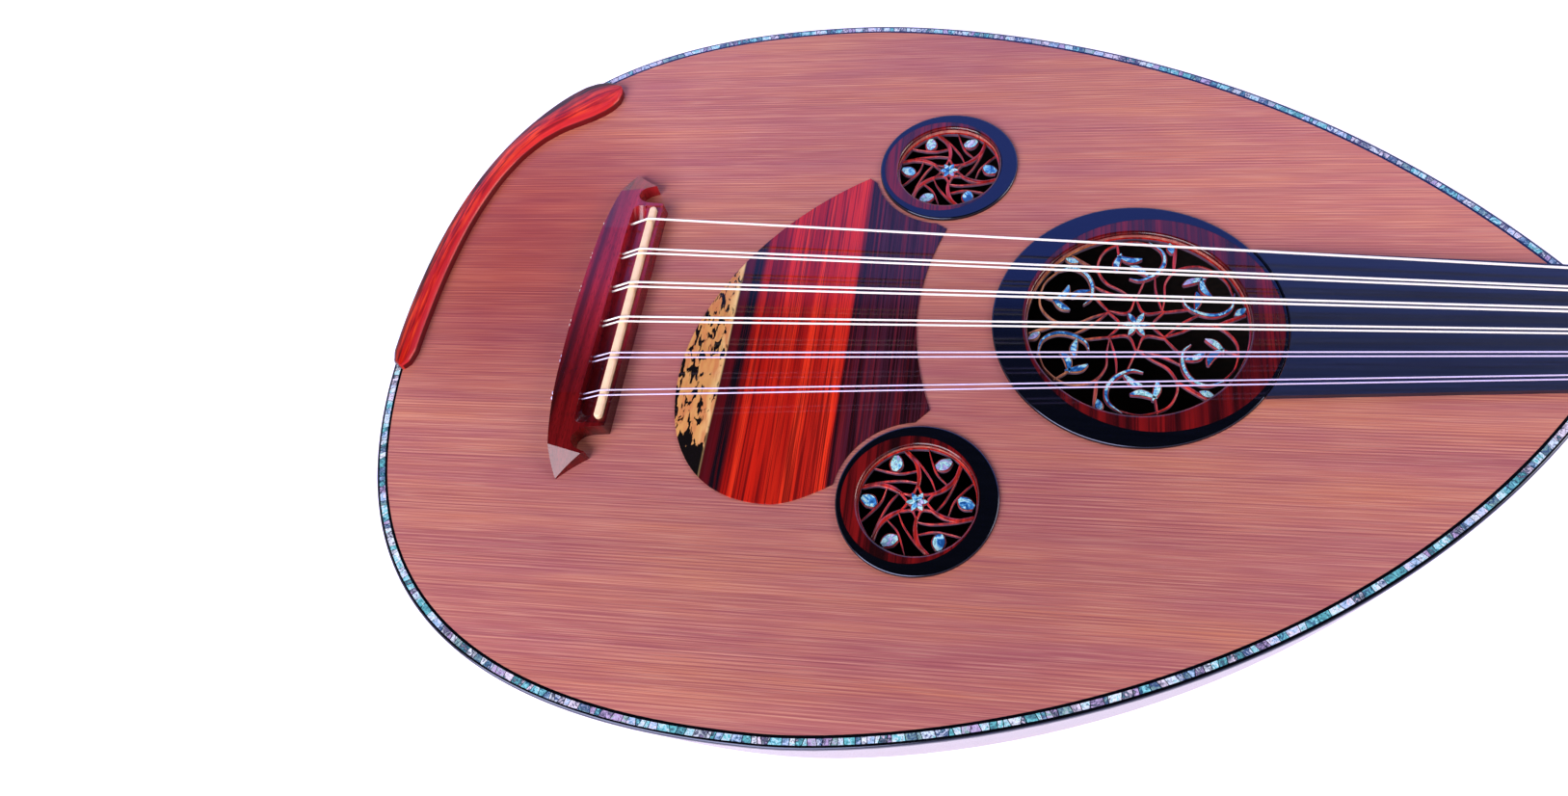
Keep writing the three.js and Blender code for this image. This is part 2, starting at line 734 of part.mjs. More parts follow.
function addRosettes() {
  for (const { name, hole, side, segments } of holes) {
    const [x, y] = holeCentre(hole, side);
    const strokes = side === 0 ? mainStrokeShares : sideStrokeShares;
    const firstTurn = side === 0 ? mainLobeTurn : sideLobeTurn;
    const solid = rosetteSolid(hole, x, y, strokes, firstTurn, segments / 2);
    addMesh(`${name}_rosette`, toGeometry(solid), cocobolo);
  }
}

// Half width of the fingerboard and neck at a place
function neckHalf(x) {
  const share = (x - fingerboardStartX) / (nutX - fingerboardStartX);
  return THREE.MathUtils.lerp(fingerboardStartHalf, nutHalfWidth, share);
}

function addFingerboard() {
  const end = nutX - gap;
  const radius = mainHole.radius + gap;
  const slope = (fingerboardStartHalf - nutHalfWidth) / (nutX - fingerboardStartX);
  const level = fingerboardStartHalf + slope * fingerboardStartX;
  // The sloping edge meets the ring's circle here
  const a = 1 + slope ** 2;
  const b = -slope * level;
  const cornerX = (-b + Math.sqrt(b ** 2 - a * (level ** 2 - radius ** 2))) / a;
  const angle = Math.atan2(neckHalf(cornerX), cornerX);
  const shape = new THREE.Shape();
  shape.moveTo(end, neckHalf(end));
  shape.absarc(0, 0, radius, angle, -angle, true);
  shape.lineTo(end, -neckHalf(end));
  addMesh('fingerboard', plate(shape, 0, fingerboardThickness, mainHoleSegments / 2), ebony);
}

const pegboxStart = new THREE.Vector2(nutX + nutThickness + pegboxLedge, 0);

// A point of the pegbox: along it from the neck, across it, and out of its open side
function pegboxPoint(along, across, out) {
  const cos = Math.cos(pegboxBend);
  const sin = Math.sin(pegboxBend);
  return new THREE.Vector3(
    pegboxStart.x + along * cos + out * sin,
    across,
    pegboxStart.y - along * sin + out * cos,
  );
}

function addNeck() {
  const section = (x, depth, slant) => {
    const half = neckHalf(Math.min(x, nutX));
    const ring = [];
    for (let i = 0; i <= neckArcSteps; i += 1) {
      const angle = (i / neckArcSteps) * Math.PI;
      const z = -depth * Math.sin(angle);
      ring.push(new THREE.Vector3(x + slant * z, half * Math.cos(angle), z));
    }
    return ring;
  };
  const jointDepth = jointHalfWidth * depthRatio;
  const slant = Math.tan(pegboxBend);
  const middleX = (jointX + nutX) / 2;
  const middleDepth = (jointDepth + neckDepthAtNut) / 2;
  const lastStraight = nutX - neckDepthAtNut * slant;
  addMesh('neck', loft([
    section(jointX, jointDepth, 0),
    section(middleX, middleDepth, 0),
    section(lastStraight, neckDepthAtNut, 0),
    section(pegboxStart.x, neckDepthAtNut, slant),
  ]), ebony);
}

// One single bass string, then pairs
function courseOf(index) {
  return Math.ceil(index / 2);
}

// Where each string crosses the saddle and the nut
function stringY(index, span, offset, pairGap) {
  const course = courseOf(index);
  const middle = span / 2 - (span * course) / (courseCount - 1) + offset;
  if (course === 0) {
    return middle;
  }
  const first = courseOf(index - 1) < course;
  return middle + (first ? pairGap / 2 : -pairGap / 2);
}

const saddlePlaces = stringRadii.map((_, i) => (
  stringY(i, stringSpanAtSaddle, stringOffsetAtSaddle, pairGapAtSaddle)
));
const nutPlaces = stringRadii.map((_, i) => (
  stringY(i, stringSpanAtNut, stringOffsetAtNut, pairGapAtNut)
));

function addNut() {
  const back = nutX + nutThickness;
  const profile = [
    [nutX, 0], [back, 0], [back, nutHeight - nutShoulder * 1.5], [back - nutShoulder, nutHeight],
    [nutX + nutShoulder / 2, nutHeight], [nutX, nutHeight - nutShoulder / 2],
  ];
  const rings = [-nutHalfWidth, nutHalfWidth].map((y) => (
    profile.map(([x, z]) => new THREE.Vector3(x, y, z))
  ));
  let nut = toSolid(loft(rings, { cap: polygonCap(profile) }));
  nutPlaces.forEach((y, i) => {
    const half = stringRadii[i] + slotClearance;
    const low = [nutX - overrun, y - half, nutSlotZ];
    nut = nut.subtract(boxSolid(low, [back + overrun, y + half, nutHeight + overrun]));
  });
  addMesh('nut', toGeometry(nut), bone);
}

const sinBend = Math.sin(pegboxBend);
const cosBend = Math.cos(pegboxBend);
// The tip comes down to the level of the bowl, so that the instrument lies level on both
const pegboxLength = (bowlDepth - cosBend * (pegboxTipDepth - footCut)) / sinBend;

function pegboxDepthAt(along) {
  return THREE.MathUtils.lerp(pegboxDepth, pegboxTipDepth, along / pegboxLength);
}

function pegboxInnerAt(along) {
  return THREE.MathUtils.lerp(pegboxInnerHalf, pegboxTipInnerHalf, along / pegboxLength);
}

// A pegbox piece from its side view, between two distances across
function pegboxPiece(profile, acrossA, acrossB) {
  const rings = [acrossA, acrossB].map((across) => (
    profile.map(([along, out]) => pegboxPoint(along, across(along), out))
  ));
  return loft(rings, { cap: polygonCap(profile) });
}

const depthSlope = (pegboxDepth - pegboxTipDepth) / pegboxLength;
const footSlant = (footCut * cosBend) / (sinBend - depthSlope * cosBend);
const tipProfile = [
  [pegboxLength - tipRound, 0], [pegboxLength - tipRound * 0.3, -tipRound * 0.3],
  [pegboxLength, -tipRound], [pegboxLength, -pegboxTipDepth + footCut],
  [pegboxLength - footSlant, -pegboxDepthAt(pegboxLength - footSlant)],
];

const pegSpacing = (pegboxLength - tipBlockLength - pegLast - pegFirst) / (stringCount - 1);

// Pegs from the nut outwards, by turns for the treble strings and for the bass strings
const pegSeats = stringRadii.map((_, i) => {
  const along = pegFirst + i * pegSpacing;
  const out = -pegLevelShare * pegboxDepthAt(along);
  const headSide = i % 2 === 0 ? -1 : 1;
  const string = headSide < 0 ? stringCount - 1 - i / 2 : (i - 1) / 2;
  return { string, along, out, headSide, centre: pegboxPoint(along, 0, out) };
});

// Radius of a peg's shaft at a distance from the middle plane, positive towards its head
function pegRadiusAt(towardsHead) {
  return pegRadius + pegTaper * towardsHead;
}

// A round rod along Y whose radius may change between its two ends
function rodSolid(centre, fromY, toY, fromRadius, toRadius, sides) {
  const ring = (y, radius) => {
    const points = [];
    for (let i = 0; i < sides; i += 1) {
      const angle = (i / sides) * Math.PI * 2;
      points.push(new THREE.Vector3(
        centre.x + radius * Math.cos(angle),
        y,
        centre.z + radius * Math.sin(angle),
      ));
    }
    return points;
  };
  return toSolid(loft([ring(fromY, fromRadius), ring(toY, toRadius)]));
}

function addCheeks() {
  for (const side of [-1, 1]) {
    const inner = (along) => side * pegboxInnerAt(along);
    const outer = (along) => side * (pegboxInnerAt(along) + cheekThickness);
    const profile = [
      [gap, -cheekDrop], [cheekRise * cheekRiseShare[0], -cheekDrop * cheekRiseShare[1]],
      [cheekRise, 0], ...tipProfile, [gap, -pegboxDepthAt(gap)],
    ];
    let cheek = toSolid(pegboxPiece(profile, inner, outer));
    const grow = 1 / Math.cos(Math.PI / pegHoleSides);
    for (const { centre, headSide } of pegSeats) {
      const reach = pegboxInnerHalf + cheekThickness + overrun;
      const farRadius = (pegRadiusAt(side * headSide * reach) + runningClearance) * grow;
      const midRadius = (pegRadiusAt(0) + runningClearance) * grow;
      cheek = cheek.subtract(rodSolid(centre, 0, side * reach, midRadius, farRadius, pegHoleSides));
    }
    const name = side > 0 ? 'pegbox_bass_cheek' : 'pegbox_treble_cheek';
    addMesh(name, toGeometry(cheek), rosewood);
  }
}

function addPegboxFloor() {
  const left = (along) => -(pegboxInnerAt(along) - gap);
  const right = (along) => pegboxInnerAt(along) - gap;
  const end = pegboxLength - tipBlockLength - gap;
  const floorAt = (along) => -pegboxDepthAt(along) + backThickness;
  const back = [
    [gap, -gap * 2], [frontWall, -frontWallDrop], [frontWall, floorAt(frontWall)],
    [end, floorAt(end)], [end, -pegboxDepthAt(end)], [gap, -pegboxDepthAt(gap)],
  ];
  addMesh('pegbox_back', pegboxPiece(back, left, right), rosewood);
  const start = pegboxLength - tipBlockLength;
  const tip = [[start, 0], ...tipProfile, [start, -pegboxDepthAt(start)]];
  addMesh('pegbox_tip', pegboxPiece(tip, left, right), ebony);
}

// A peg from its small end to its head; sections are round on the shaft and flat on the head
function pegGeometry(seat) {
  const outerHalf = pegboxInnerAt(seat.along) + cheekThickness;
  const collar = outerHalf + pegStand;
  const endRound = 0.7;
  const sections = [
    [-outerHalf - pegProud, pegRadiusAt(-outerHalf) * endRound, pegRadiusAt(-outerHalf) * endRound],
    [-outerHalf - pegProud * (1 - endRound), pegRadiusAt(-outerHalf), pegRadiusAt(-outerHalf)],
    [collar, pegRadiusAt(collar), pegRadiusAt(collar)],
  ];
  for (const [place, width, thick] of pegHeadShares) {
    const along = collar + place * pegHeadLength;
    sections.push([along, width * pegHeadHalfWidth, thick * pegHeadHalfThick]);
  }
  const rings = sections.map(([towardsHead, halfWidth, halfThick]) => {
    const ring = [];
    for (let i = 0; i < pegSides; i += 1) {
      const angle = (i / pegSides) * Math.PI * 2;
      ring.push(new THREE.Vector3(
        seat.centre.x + halfThick * Math.cos(angle),
        seat.headSide * towardsHead,
        seat.centre.z + halfWidth * Math.sin(angle),
      ));
    }
    return ring;
  });
  return loft(rings);
}

function addPegs() {
  for (const seat of pegSeats) {
    addMesh(`peg_${String(seat.string + 1).padStart(2, '0')}`, pegGeometry(seat), ebony);
  }
}

// Front outline of the bridge: half of it, from the middle of the back edge to the front corner,
// each point as a place along the bridge and a distance behind the front edge
const bridgeDepth = bridgeBackX - bridgeFrontX;
const bridgeShares = {
  backPull: [0.54, 1], tipPull: [0.87, 0.87], tip: [1, 0.66], browPull: [0.97, 0.3],
  hook: [0.88, 0.18], hookPull: [0.862, 0.35], notchPull: [0.843, 0.49], notch: [0.795, 0.47],
  notchOut: [0.753, 0.44], cornerPull: [0.738, 0.31], cornerNear: [0.737, 0.18], corner: [0.731, 0],
};

function bridgePoint(share, side) {
  return [bridgeFrontX + bridgeDepth * share[1], bridgeY + side * bridgeHalf * share[0]];
}

function bridgeShape() {
  const s = bridgeShares;
  const shape = new THREE.Shape();
  shape.moveTo(bridgeBackX, bridgeY);
  const go = (side, names) => names.flatMap((name) => bridgePoint(s[name], side));
  shape.bezierCurveTo(...go(1, ['backPull', 'tipPull', 'tip']));
  shape.quadraticCurveTo(...go(1, ['browPull', 'hook']));
  shape.bezierCurveTo(...go(1, ['hookPull', 'notchPull', 'notch']));
  shape.bezierCurveTo(...go(1, ['notchOut', 'cornerPull', 'cornerNear']));
  shape.lineTo(...go(1, ['corner']));
  shape.lineTo(...go(-1, ['corner']));
  shape.lineTo(...go(-1, ['cornerNear']));
  shape.bezierCurveTo(...go(-1, ['cornerPull', 'notchOut', 'notch']));
  shape.bezierCurveTo(...go(-1, ['notchPull', 'hookPull', 'hook']));
  shape.quadraticCurveTo(...go(-1, ['browPull', 'tip']));
  shape.bezierCurveTo(...go(-1, ['tipPull', 'backPull']), bridgeBackX, bridgeY);
  return shape;
}

// A bar with round ends along Y
function barShape(middleX, middleY, halfLength, halfWidth) {
  const shape = new THREE.Shape();
  const reach = halfLength - halfWidth;
  shape.absarc(middleX, middleY + reach, halfWidth, 0, Math.PI, false);
  shape.absarc(middleX, middleY - reach, halfWidth, Math.PI, Math.PI * 2, false);
  return shape;
}

// A block that takes the sloping facet off one end of the bridge
function facetTool(side) {
  const inner = bridgeHalf - bridgeTipLength;
  const slope = (bridgeHeight - bridgeTipHeight) / bridgeTipLength;
  const outerY = bridgeHalf + overrun;
  const top = bridgeHeight + overrun;
  const profile = [
    [inner, bridgeHeight], [inner, top], [outerY, top], [outerY, bridgeTipHeight - slope * overrun],
  ];
  const rings = [bridgeBackX - overrun, bridgeFrontX + overrun].map((x) => (
    profile.map(([along, z]) => new THREE.Vector3(x, bridgeY + side * along, z))
  ));
  return toSolid(loft(rings));
}

// Where the back edge of the bridge lies beside a string, over the width of the string's bead
function bridgeBackAt(y) {
  const edge = bridgeShape().getPoints(bridgeCurveSteps);
  let back = bridgeFrontX;
  for (let i = 0; i < edge.length; i += 1) {
    const from = edge[i];
    const to = edge[(i + 1) % edge.length];
    for (const place of [y - beadRadius, y, y + beadRadius]) {
      const share = (place - from.y) / (to.y - from.y);
      if (share >= 0 && share <= 1) {
        back = Math.min(back, THREE.MathUtils.lerp(from.x, to.x, share));
      }
    }
  }
  return back;
}

function addBridge() {
  const bevelled = new THREE.ExtrudeGeometry(bridgeShape(), {
    depth: bridgeHeight - bridgeEdge + overrun,
    curveSegments: bridgeCurveSteps,
    bevelEnabled: true,
    bevelThickness: bridgeEdge,
    bevelSize: bridgeEdge,
    bevelOffset: -bridgeEdge,
    bevelSegments: 1,
  });
  bevelled.translate(0, 0, -overrun);
  const reach = bridgeHalf * 2;
  const below = [bridgeBackX - overrun, -reach, -overrun * 3];
  let bridge = toSolid(bevelled).subtract(boxSolid(below, [bridgeFrontX + overrun, reach, 0]));
  const channelMiddle = (channelBackX + channelFrontX) / 2;
  const channelWidth = channelFrontX - channelBackX;
  const channel = barShape(channelMiddle, bridgeY, channelHalf, channelWidth / 2);
  bridge = bridge.subtract(toSolid(plate(channel, channelFloor, bridgeHeight + overrun, 6)));
  const railStart = [channelFrontX - overrun / 2, bridgeY - channelHalf, railTop];
  const railEnd = [bridgeFrontX + overrun, bridgeY + channelHalf, bridgeHeight + overrun];
  bridge = bridge.subtract(boxSolid(railStart, railEnd));
  const seat = barShape(saddleX, saddleY, saddleHalf + gap, saddleWidth / 2 + gap);
  bridge = bridge.subtract(toSolid(plate(seat, saddleSeatZ, bridgeHeight + overrun, 6)));
  for (const side of [-1, 1]) {
    bridge = bridge.subtract(facetTool(side));
  }
  saddlePlaces.forEach((y, i) => {
    bridge = bridge.subtract(tieHole(y, stringRadii[i] + runningClearance));
  });
  addMesh('bridge', toGeometry(bridge), cocobolo);
}

// A square-set hole along X through the tie block
function tieHole(y, radius) {
  const sides = 6;
  const grown = radius / Math.cos(Math.PI / sides);
  const rings = [bridgeBackX - overrun, (channelBackX + channelFrontX) / 2].map((x) => {
    const ring = [];
    for (let i = 0; i < sides; i += 1) {
      const angle = (i / sides) * Math.PI * 2;
      ring.push(new THREE.Vector3(x, y + grown * Math.cos(angle), tieHoleZ + grown * Math.sin(angle)));
    }
    return ring;
  });
  return toSolid(loft(rings));
}

function addSaddle() {
  const shape = barShape(saddleX, saddleY, saddleHalf - saddleRound, saddleWidth / 2 - saddleRound);
  const geometry = new THREE.ExtrudeGeometry(shape, {
    depth: saddleTop - saddleSeatZ - saddleRound + overrun,
    curveSegments: 5,
    bevelEnabled: true,
    bevelThickness: saddleRound,
    bevelSize: saddleRound,
    bevelSegments: 2,
  });
  geometry.translate(0, 0, saddleSeatZ - overrun);
  const below = [saddleX - saddleWidth, -bridgeHalf * 2, saddleSeatZ - overrun * 3];
  const cut = boxSolid(below, [saddleX + saddleWidth, bridgeHalf * 2, saddleSeatZ]);
  addMesh('saddle', toGeometry(toSolid(geometry).subtract(cut)), bone);
}

function addPickguard() {
  const pull = guardPulls;
  const radius = sideHole.radius + guardRingGap;
  const deg = THREE.MathUtils.degToRad;
  const shape = new THREE.Shape();
  shape.moveTo(...guardTop);
  shape.bezierCurveTo(
    guardTop[0] - pull.topX, guardTop[1] - pull.topY,
    guardLeft[0], guardLeft[1] + pull.left, ...guardLeft,
  );
  shape.bezierCurveTo(
    guardLeft[0], guardLeft[1] - pull.leftLow,
    guardLow[0] - pull.low, guardLow[1], ...guardLow,
  );
  const lowStart = deg(guardLowArc.from);
  const lowEnd = [sideHoleX + radius * Math.cos(lowStart), -sideHoleY + radius * Math.sin(lowStart)];
  shape.quadraticCurveTo(guardLow[0] + pull.lowEnd, guardLow[1], lowEnd[0] - gap, lowEnd[1]);
  shape.absarc(sideHoleX, -sideHoleY, radius, lowStart, deg(guardLowArc.to), true);
  shape.lineTo(guardHornX, guardHornLowY);
  shape.quadraticCurveTo(
    guardHornX - guardHollow, (guardHornLowY + guardHornTopY) / 2,
    guardHornX, guardHornTopY,
  );
  shape.absarc(sideHoleX, sideHoleY, radius, deg(guardTopArc.from), deg(guardTopArc.to), true);
  addMesh('pickguard', plate(shape, 0, guardThickness, 7), cocobolo);
}

function addArmrest() {
  const length = armEnd - armStart;
  const rings = armShares.map(([place, outerShare, innerShare]) => {
    const along = armStart + place * length;
    const outer = outerShare * armWidth;
    const inner = innerShare * armWidth;
    const crown = Math.min(armCrown, (inner - outer) / 3);
    const section = [
      [outer, 0], [outer, armEdgeHeight], [outer + crown, armHeight],
      [inner - crown, armHeight], [inner, armEdgeHeight], [inner, 0],
    ];
    return section.map(([inset, z]) => {
      const point = rimPoint(along, inset);
      return new THREE.Vector3(point.x, point.y, z);
    });
  });
  addMesh('armrest', loft(rings), padauk);
}

// A round tube along points, each with its own radius, on frames that turn as little as they can
function tubeGeometry(points, radii, sides) {
  const tangents = points.map((point, i) => {
    const before = points[Math.max(0, i - 1)];
    const after = points[Math.min(points.length - 1, i + 1)];
    return after.clone().sub(before).normalize();
  });
  let normal = new THREE.Vector3(0, 1, 0);
  const rings = points.map((point, i) => {
    normal = normal.clone().addScaledVector(tangents[i], -normal.dot(tangents[i])).normalize();
    const side = new THREE.Vector3().crossVectors(tangents[i], normal);
    const ring = [];
    for (let j = 0; j < sides; j += 1) {
      const angle = (j / sides) * Math.PI * 2;
      ring.push(point.clone()
        .addScaledVector(normal, radii[i] * Math.cos(angle))
        .addScaledVector(side, radii[i] * Math.sin(angle)));
    }
    return ring;
  });
  return loft(rings);
}

// The turns of a string on its peg, from where it touches, over the top and away from the neck
function windingPoints(seat, radius, from, arrival) {
  const outward = Math.sign(arrival);
  const shaft = (across) => pegRadiusAt(seat.headSide * across) + runningClearance + radius;
  const gapAlong = seat.along - from.along;
  const rise = from.out - seat.out;
  const distance = Math.hypot(gapAlong, rise);
  const start = Math.atan2(rise, -gapAlong) - Math.acos(shaft(arrival) / distance);
  const count = windingTurns * windingSteps;
  const pitch = 2 * radius + windingGap;
  const points = [];
  for (let i = 0; i <= count; i += 1) {
    const angle = start - (i / windingSteps) * Math.PI * 2;
    const across = arrival + outward * pitch * (i / windingSteps);
    const reach = shaft(across);
    points.push(pegboxPoint(
      seat.along + reach * Math.cos(angle),
      across,
      seat.out + reach * Math.sin(angle),
    ));
  }
  return points;
}

// The least gap of a winding to itself, measured between points one turn apart
function windingSelfGap(points, radius) {
  let least = Infinity;
  for (let i = 0; i + windingSteps < points.length; i += 1) {
    least = Math.min(least, points[i].distanceTo(points[i + windingSteps]) - 2 * radius);
  }
  return least;
}

function stringPoints(index, seat, arrival) {
  const radius = stringRadii[index];
  const y = saddlePlaces[index];
  const nutY = nutPlaces[index];
  const saddleZ = saddleTop + runningClearance + radius;
  const nutZ = nutSlotZ + slotClearance + radius;
  const back = bridgeBackAt(y) - gap;
  const crest = saddleWidth / 4;
  const slope = (saddleZ - nutZ) / scaleLength;
  const bend = new THREE.Vector3(nutX + nutThickness + gap, nutY, nutZ);
  const path = [
    [back - beadLength, radius * 0.6, y, tieHoleZ],
    [back - beadLength * 0.8, beadRadius, y, tieHoleZ],
    [back - beadLength * 0.25, beadRadius, y, tieHoleZ],
    [back, radius, y, tieHoleZ],
    [channelBackX + gap, radius, y, tieHoleZ],
    [saddleX - crest, radius, y, saddleZ - radius / 4],
    [saddleX + crest, radius, y, saddleZ - crest * slope],
  ];
  const points = path.map(([x, , acrossY, z]) => new THREE.Vector3(x, acrossY, z));
  const radii = path.map((row) => row[1]);
  const nutEnd = new THREE.Vector3(nutX + nutThickness / 2, nutY, nutZ);
  points.push(nutEnd, bend);
  radii.push(radius, radius);
  const from = {
    along: (bend.x - pegboxStart.x) * cosBend - (bend.z - pegboxStart.y) * sinBend,
    out: (bend.x - pegboxStart.x) * sinBend + (bend.z - pegboxStart.y) * cosBend,
  };
  const winding = windingPoints(seat, radius, from, arrival);
  points.push(...winding);
  radii.push(...winding.map(() => radius));
  return { points, radii, selfGap: windingSelfGap(winding, radius) };
}

function addStrings() {
  let leastGap = Infinity;
  pegSeats.forEach((seat, i) => {
    const { points, radii, selfGap } = stringPoints(seat.string, seat, arrivalShares[i] * arrivalSpan);
    leastGap = Math.min(leastGap, selfGap);
    const name = `string_${String(seat.string + 1).padStart(2, '0')}`;
    const material = courseOf(seat.string) < woundCourses ? woundString : nylonString;
    addMesh(name, tubeGeometry(points, radii, stringSides), material);
  });
  console.log(`least gap between turns of one winding: ${leastGap.toFixed(2)} mm`);
}

addSoundboard();
addBinding();
addRibs();
addClaspAndBlocks();
addNeck();
addFingerboard();
addNut();
addCheeks();
addPegboxFloor();
addBridge();
addSaddle();
addPickguard();
addArmrest();
addRings();
addRosettes();
addPegs();
addStrings();

// Stand the instrument on z = 0 with the middle of its box over the origin
const bounds = new THREE.Box3().setFromObject(instrument);
const middle = bounds.getCenter(new THREE.Vector3());
instrument.position.set(-middle.x, -middle.y, -bounds.min.z);

const oud = new THREE.Group();
oud.add(instrument);

export default oud;
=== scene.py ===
import bisect
import math
import random

import bmesh
import bpy
from mathutils import Matrix, Vector


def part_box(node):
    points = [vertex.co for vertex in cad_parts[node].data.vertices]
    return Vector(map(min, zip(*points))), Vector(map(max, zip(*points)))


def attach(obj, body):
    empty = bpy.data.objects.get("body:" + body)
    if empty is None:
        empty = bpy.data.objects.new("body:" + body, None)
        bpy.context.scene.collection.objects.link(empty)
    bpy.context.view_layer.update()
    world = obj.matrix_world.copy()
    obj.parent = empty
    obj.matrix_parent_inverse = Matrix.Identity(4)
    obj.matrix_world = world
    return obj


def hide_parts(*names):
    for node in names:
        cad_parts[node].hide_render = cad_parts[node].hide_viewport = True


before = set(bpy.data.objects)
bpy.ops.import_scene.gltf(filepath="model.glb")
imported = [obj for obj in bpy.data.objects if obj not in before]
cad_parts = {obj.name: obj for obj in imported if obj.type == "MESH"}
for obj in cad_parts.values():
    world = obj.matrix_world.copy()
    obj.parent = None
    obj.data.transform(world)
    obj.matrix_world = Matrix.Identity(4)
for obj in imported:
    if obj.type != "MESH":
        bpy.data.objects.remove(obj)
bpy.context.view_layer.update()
ring_low, ring_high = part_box("main_ring")
CENTRE = Vector(((ring_low.x + ring_high.x) / 2, (ring_low.y + ring_high.y) / 2, ring_low.z))
MM = 0.001
BODY = "oud_body"


# Materials
def rgb(code):
    """sRGB hex to the linear colour that the shader takes."""
    out = []
    for i in (0, 2, 4):
        v = int(code[i : i + 2], 16) / 255
        out.append(v / 12.92 if v <= 0.04045 else ((v + 0.055) / 1.055) ** 2.4)
    return (*out, 1.0)


class Shade:
    """A procedural material whose texture places are board millimetres."""

    def __init__(self, name, roughness=0.5, coat=0.0, specular=0.5):
        self.material = bpy.data.materials.new(name)
        self.material.use_nodes = True
        self.tree = self.material.node_tree
        self.bsdf = self.tree.nodes["Principled BSDF"]
        self.bsdf.inputs["Roughness"].default_value = roughness
        self.bsdf.inputs["Specular IOR Level"].default_value = specular
        self.bsdf.inputs["Coat Weight"].default_value = coat
        self.bsdf.inputs["Coat Roughness"].default_value = 0.12
        coords = self.tree.nodes.new("ShaderNodeTexCoord")
        self.mm = self.mapped(coords.outputs["Object"], (1 / MM,) * 3)
        self.mm.node.inputs["Location"].default_value = [-v / MM for v in CENTRE]

    def feed(self, socket, value):
        """An input's value: another node's output, a hex colour or a number."""
        if isinstance(value, bpy.types.NodeSocket):
            self.tree.links.new(value, socket)
        else:
            socket.default_value = rgb(value) if isinstance(value, str) else value

    def mapped(self, vector, scale, turn=0.0):
        node = self.tree.nodes.new("ShaderNodeMapping")
        node.inputs["Rotation"].default_value = (0, 0, turn)
        node.inputs["Scale"].default_value = scale
        self.feed(node.inputs["Vector"], vector)
        return node.outputs["Vector"]

    def noise(self, scale, detail=2.0, rough=0.5, distort=0.0, turn=0.0, place=None):
        """Noise over board millimetres, or over a place of its own, with a scale for each axis."""
        node = self.tree.nodes.new("ShaderNodeTexNoise")
        node.inputs["Scale"].default_value = 1.0
        node.inputs["Detail"].default_value = detail
        node.inputs["Roughness"].default_value = rough
        node.inputs["Distortion"].default_value = distort
        self.feed(node.inputs["Vector"], self.mapped(place or self.mm, scale, turn))
        return node.outputs["Fac"]

    def axis(self, name, vector=None):
        node = self.tree.nodes.new("ShaderNodeSeparateXYZ")
        self.feed(node.inputs["Vector"], vector or self.mm)
        return node.outputs[name]

    def attribute(self, name):
        node = self.tree.nodes.new("ShaderNodeAttribute")
        node.attribute_name = name
        return node.outputs["Fac"]

    def along_wood(self, *factors):
        """A place made of the numbers across, along and stave on a piece's points, each times a factor."""
        spread = self.tree.nodes.new("ShaderNodeCombineXYZ")
        for socket, name, factor in zip(spread.inputs, ("across", "along", "stave"), factors):
            self.feed(socket, self.math("MULTIPLY", self.attribute(name), factor))
        return spread.outputs["Vector"]

    def geometry(self, name):
        return self.tree.nodes.new("ShaderNodeNewGeometry").outputs[name]

    def math(self, operation, *values):
        node = self.tree.nodes.new("ShaderNodeMath")
        node.operation = operation
        for socket, value in zip(node.inputs, values):
            self.feed(socket, value)
        return node.outputs[0]

    def share(self, value, start, length):
        """How far a value has gone from start, as a share of a length."""
        return self.math("DIVIDE", self.math("SUBTRACT", value, start), length)

    def ramp(self, factor, stops):
        node = self.tree.nodes.new("ShaderNodeValToRGB")
        elements = node.color_ramp.elements
        while len(elements) < len(stops):
            elements.new(0.5)
        for element, (place, colour) in zip(elements, stops):
            element.position = place
            element.color = rgb(colour) if isinstance(colour, str) else (colour,) * 3 + (1,)
        self.feed(node.inputs["Fac"], factor)
        return node.outputs["Color"]

    def mix(self, factor, a, b, blend="MIX"):
        node = self.tree.nodes.new("ShaderNodeMix")
        node.data_type = "RGBA"
        node.blend_type = blend
        for number, value in ((0, factor), (6, a), (7, b)):
            self.feed(node.inputs[number], value)
        return node.outputs[2]

    def layers(self, base, rows, mask=None):
        """Colours laid over base: each row has a factor, two stops of the colour's share, and the colour."""
        for factor, low, high, colour in rows:
            share = self.ramp(factor, [low, high])
            if mask:
                share = self.math("MULTIPLY", share, mask)
            base = self.mix(share, base, colour)
        return base

    def paint(self, output):
        self.feed(self.bsdf.inputs["Base Color"], output)
        return self.material


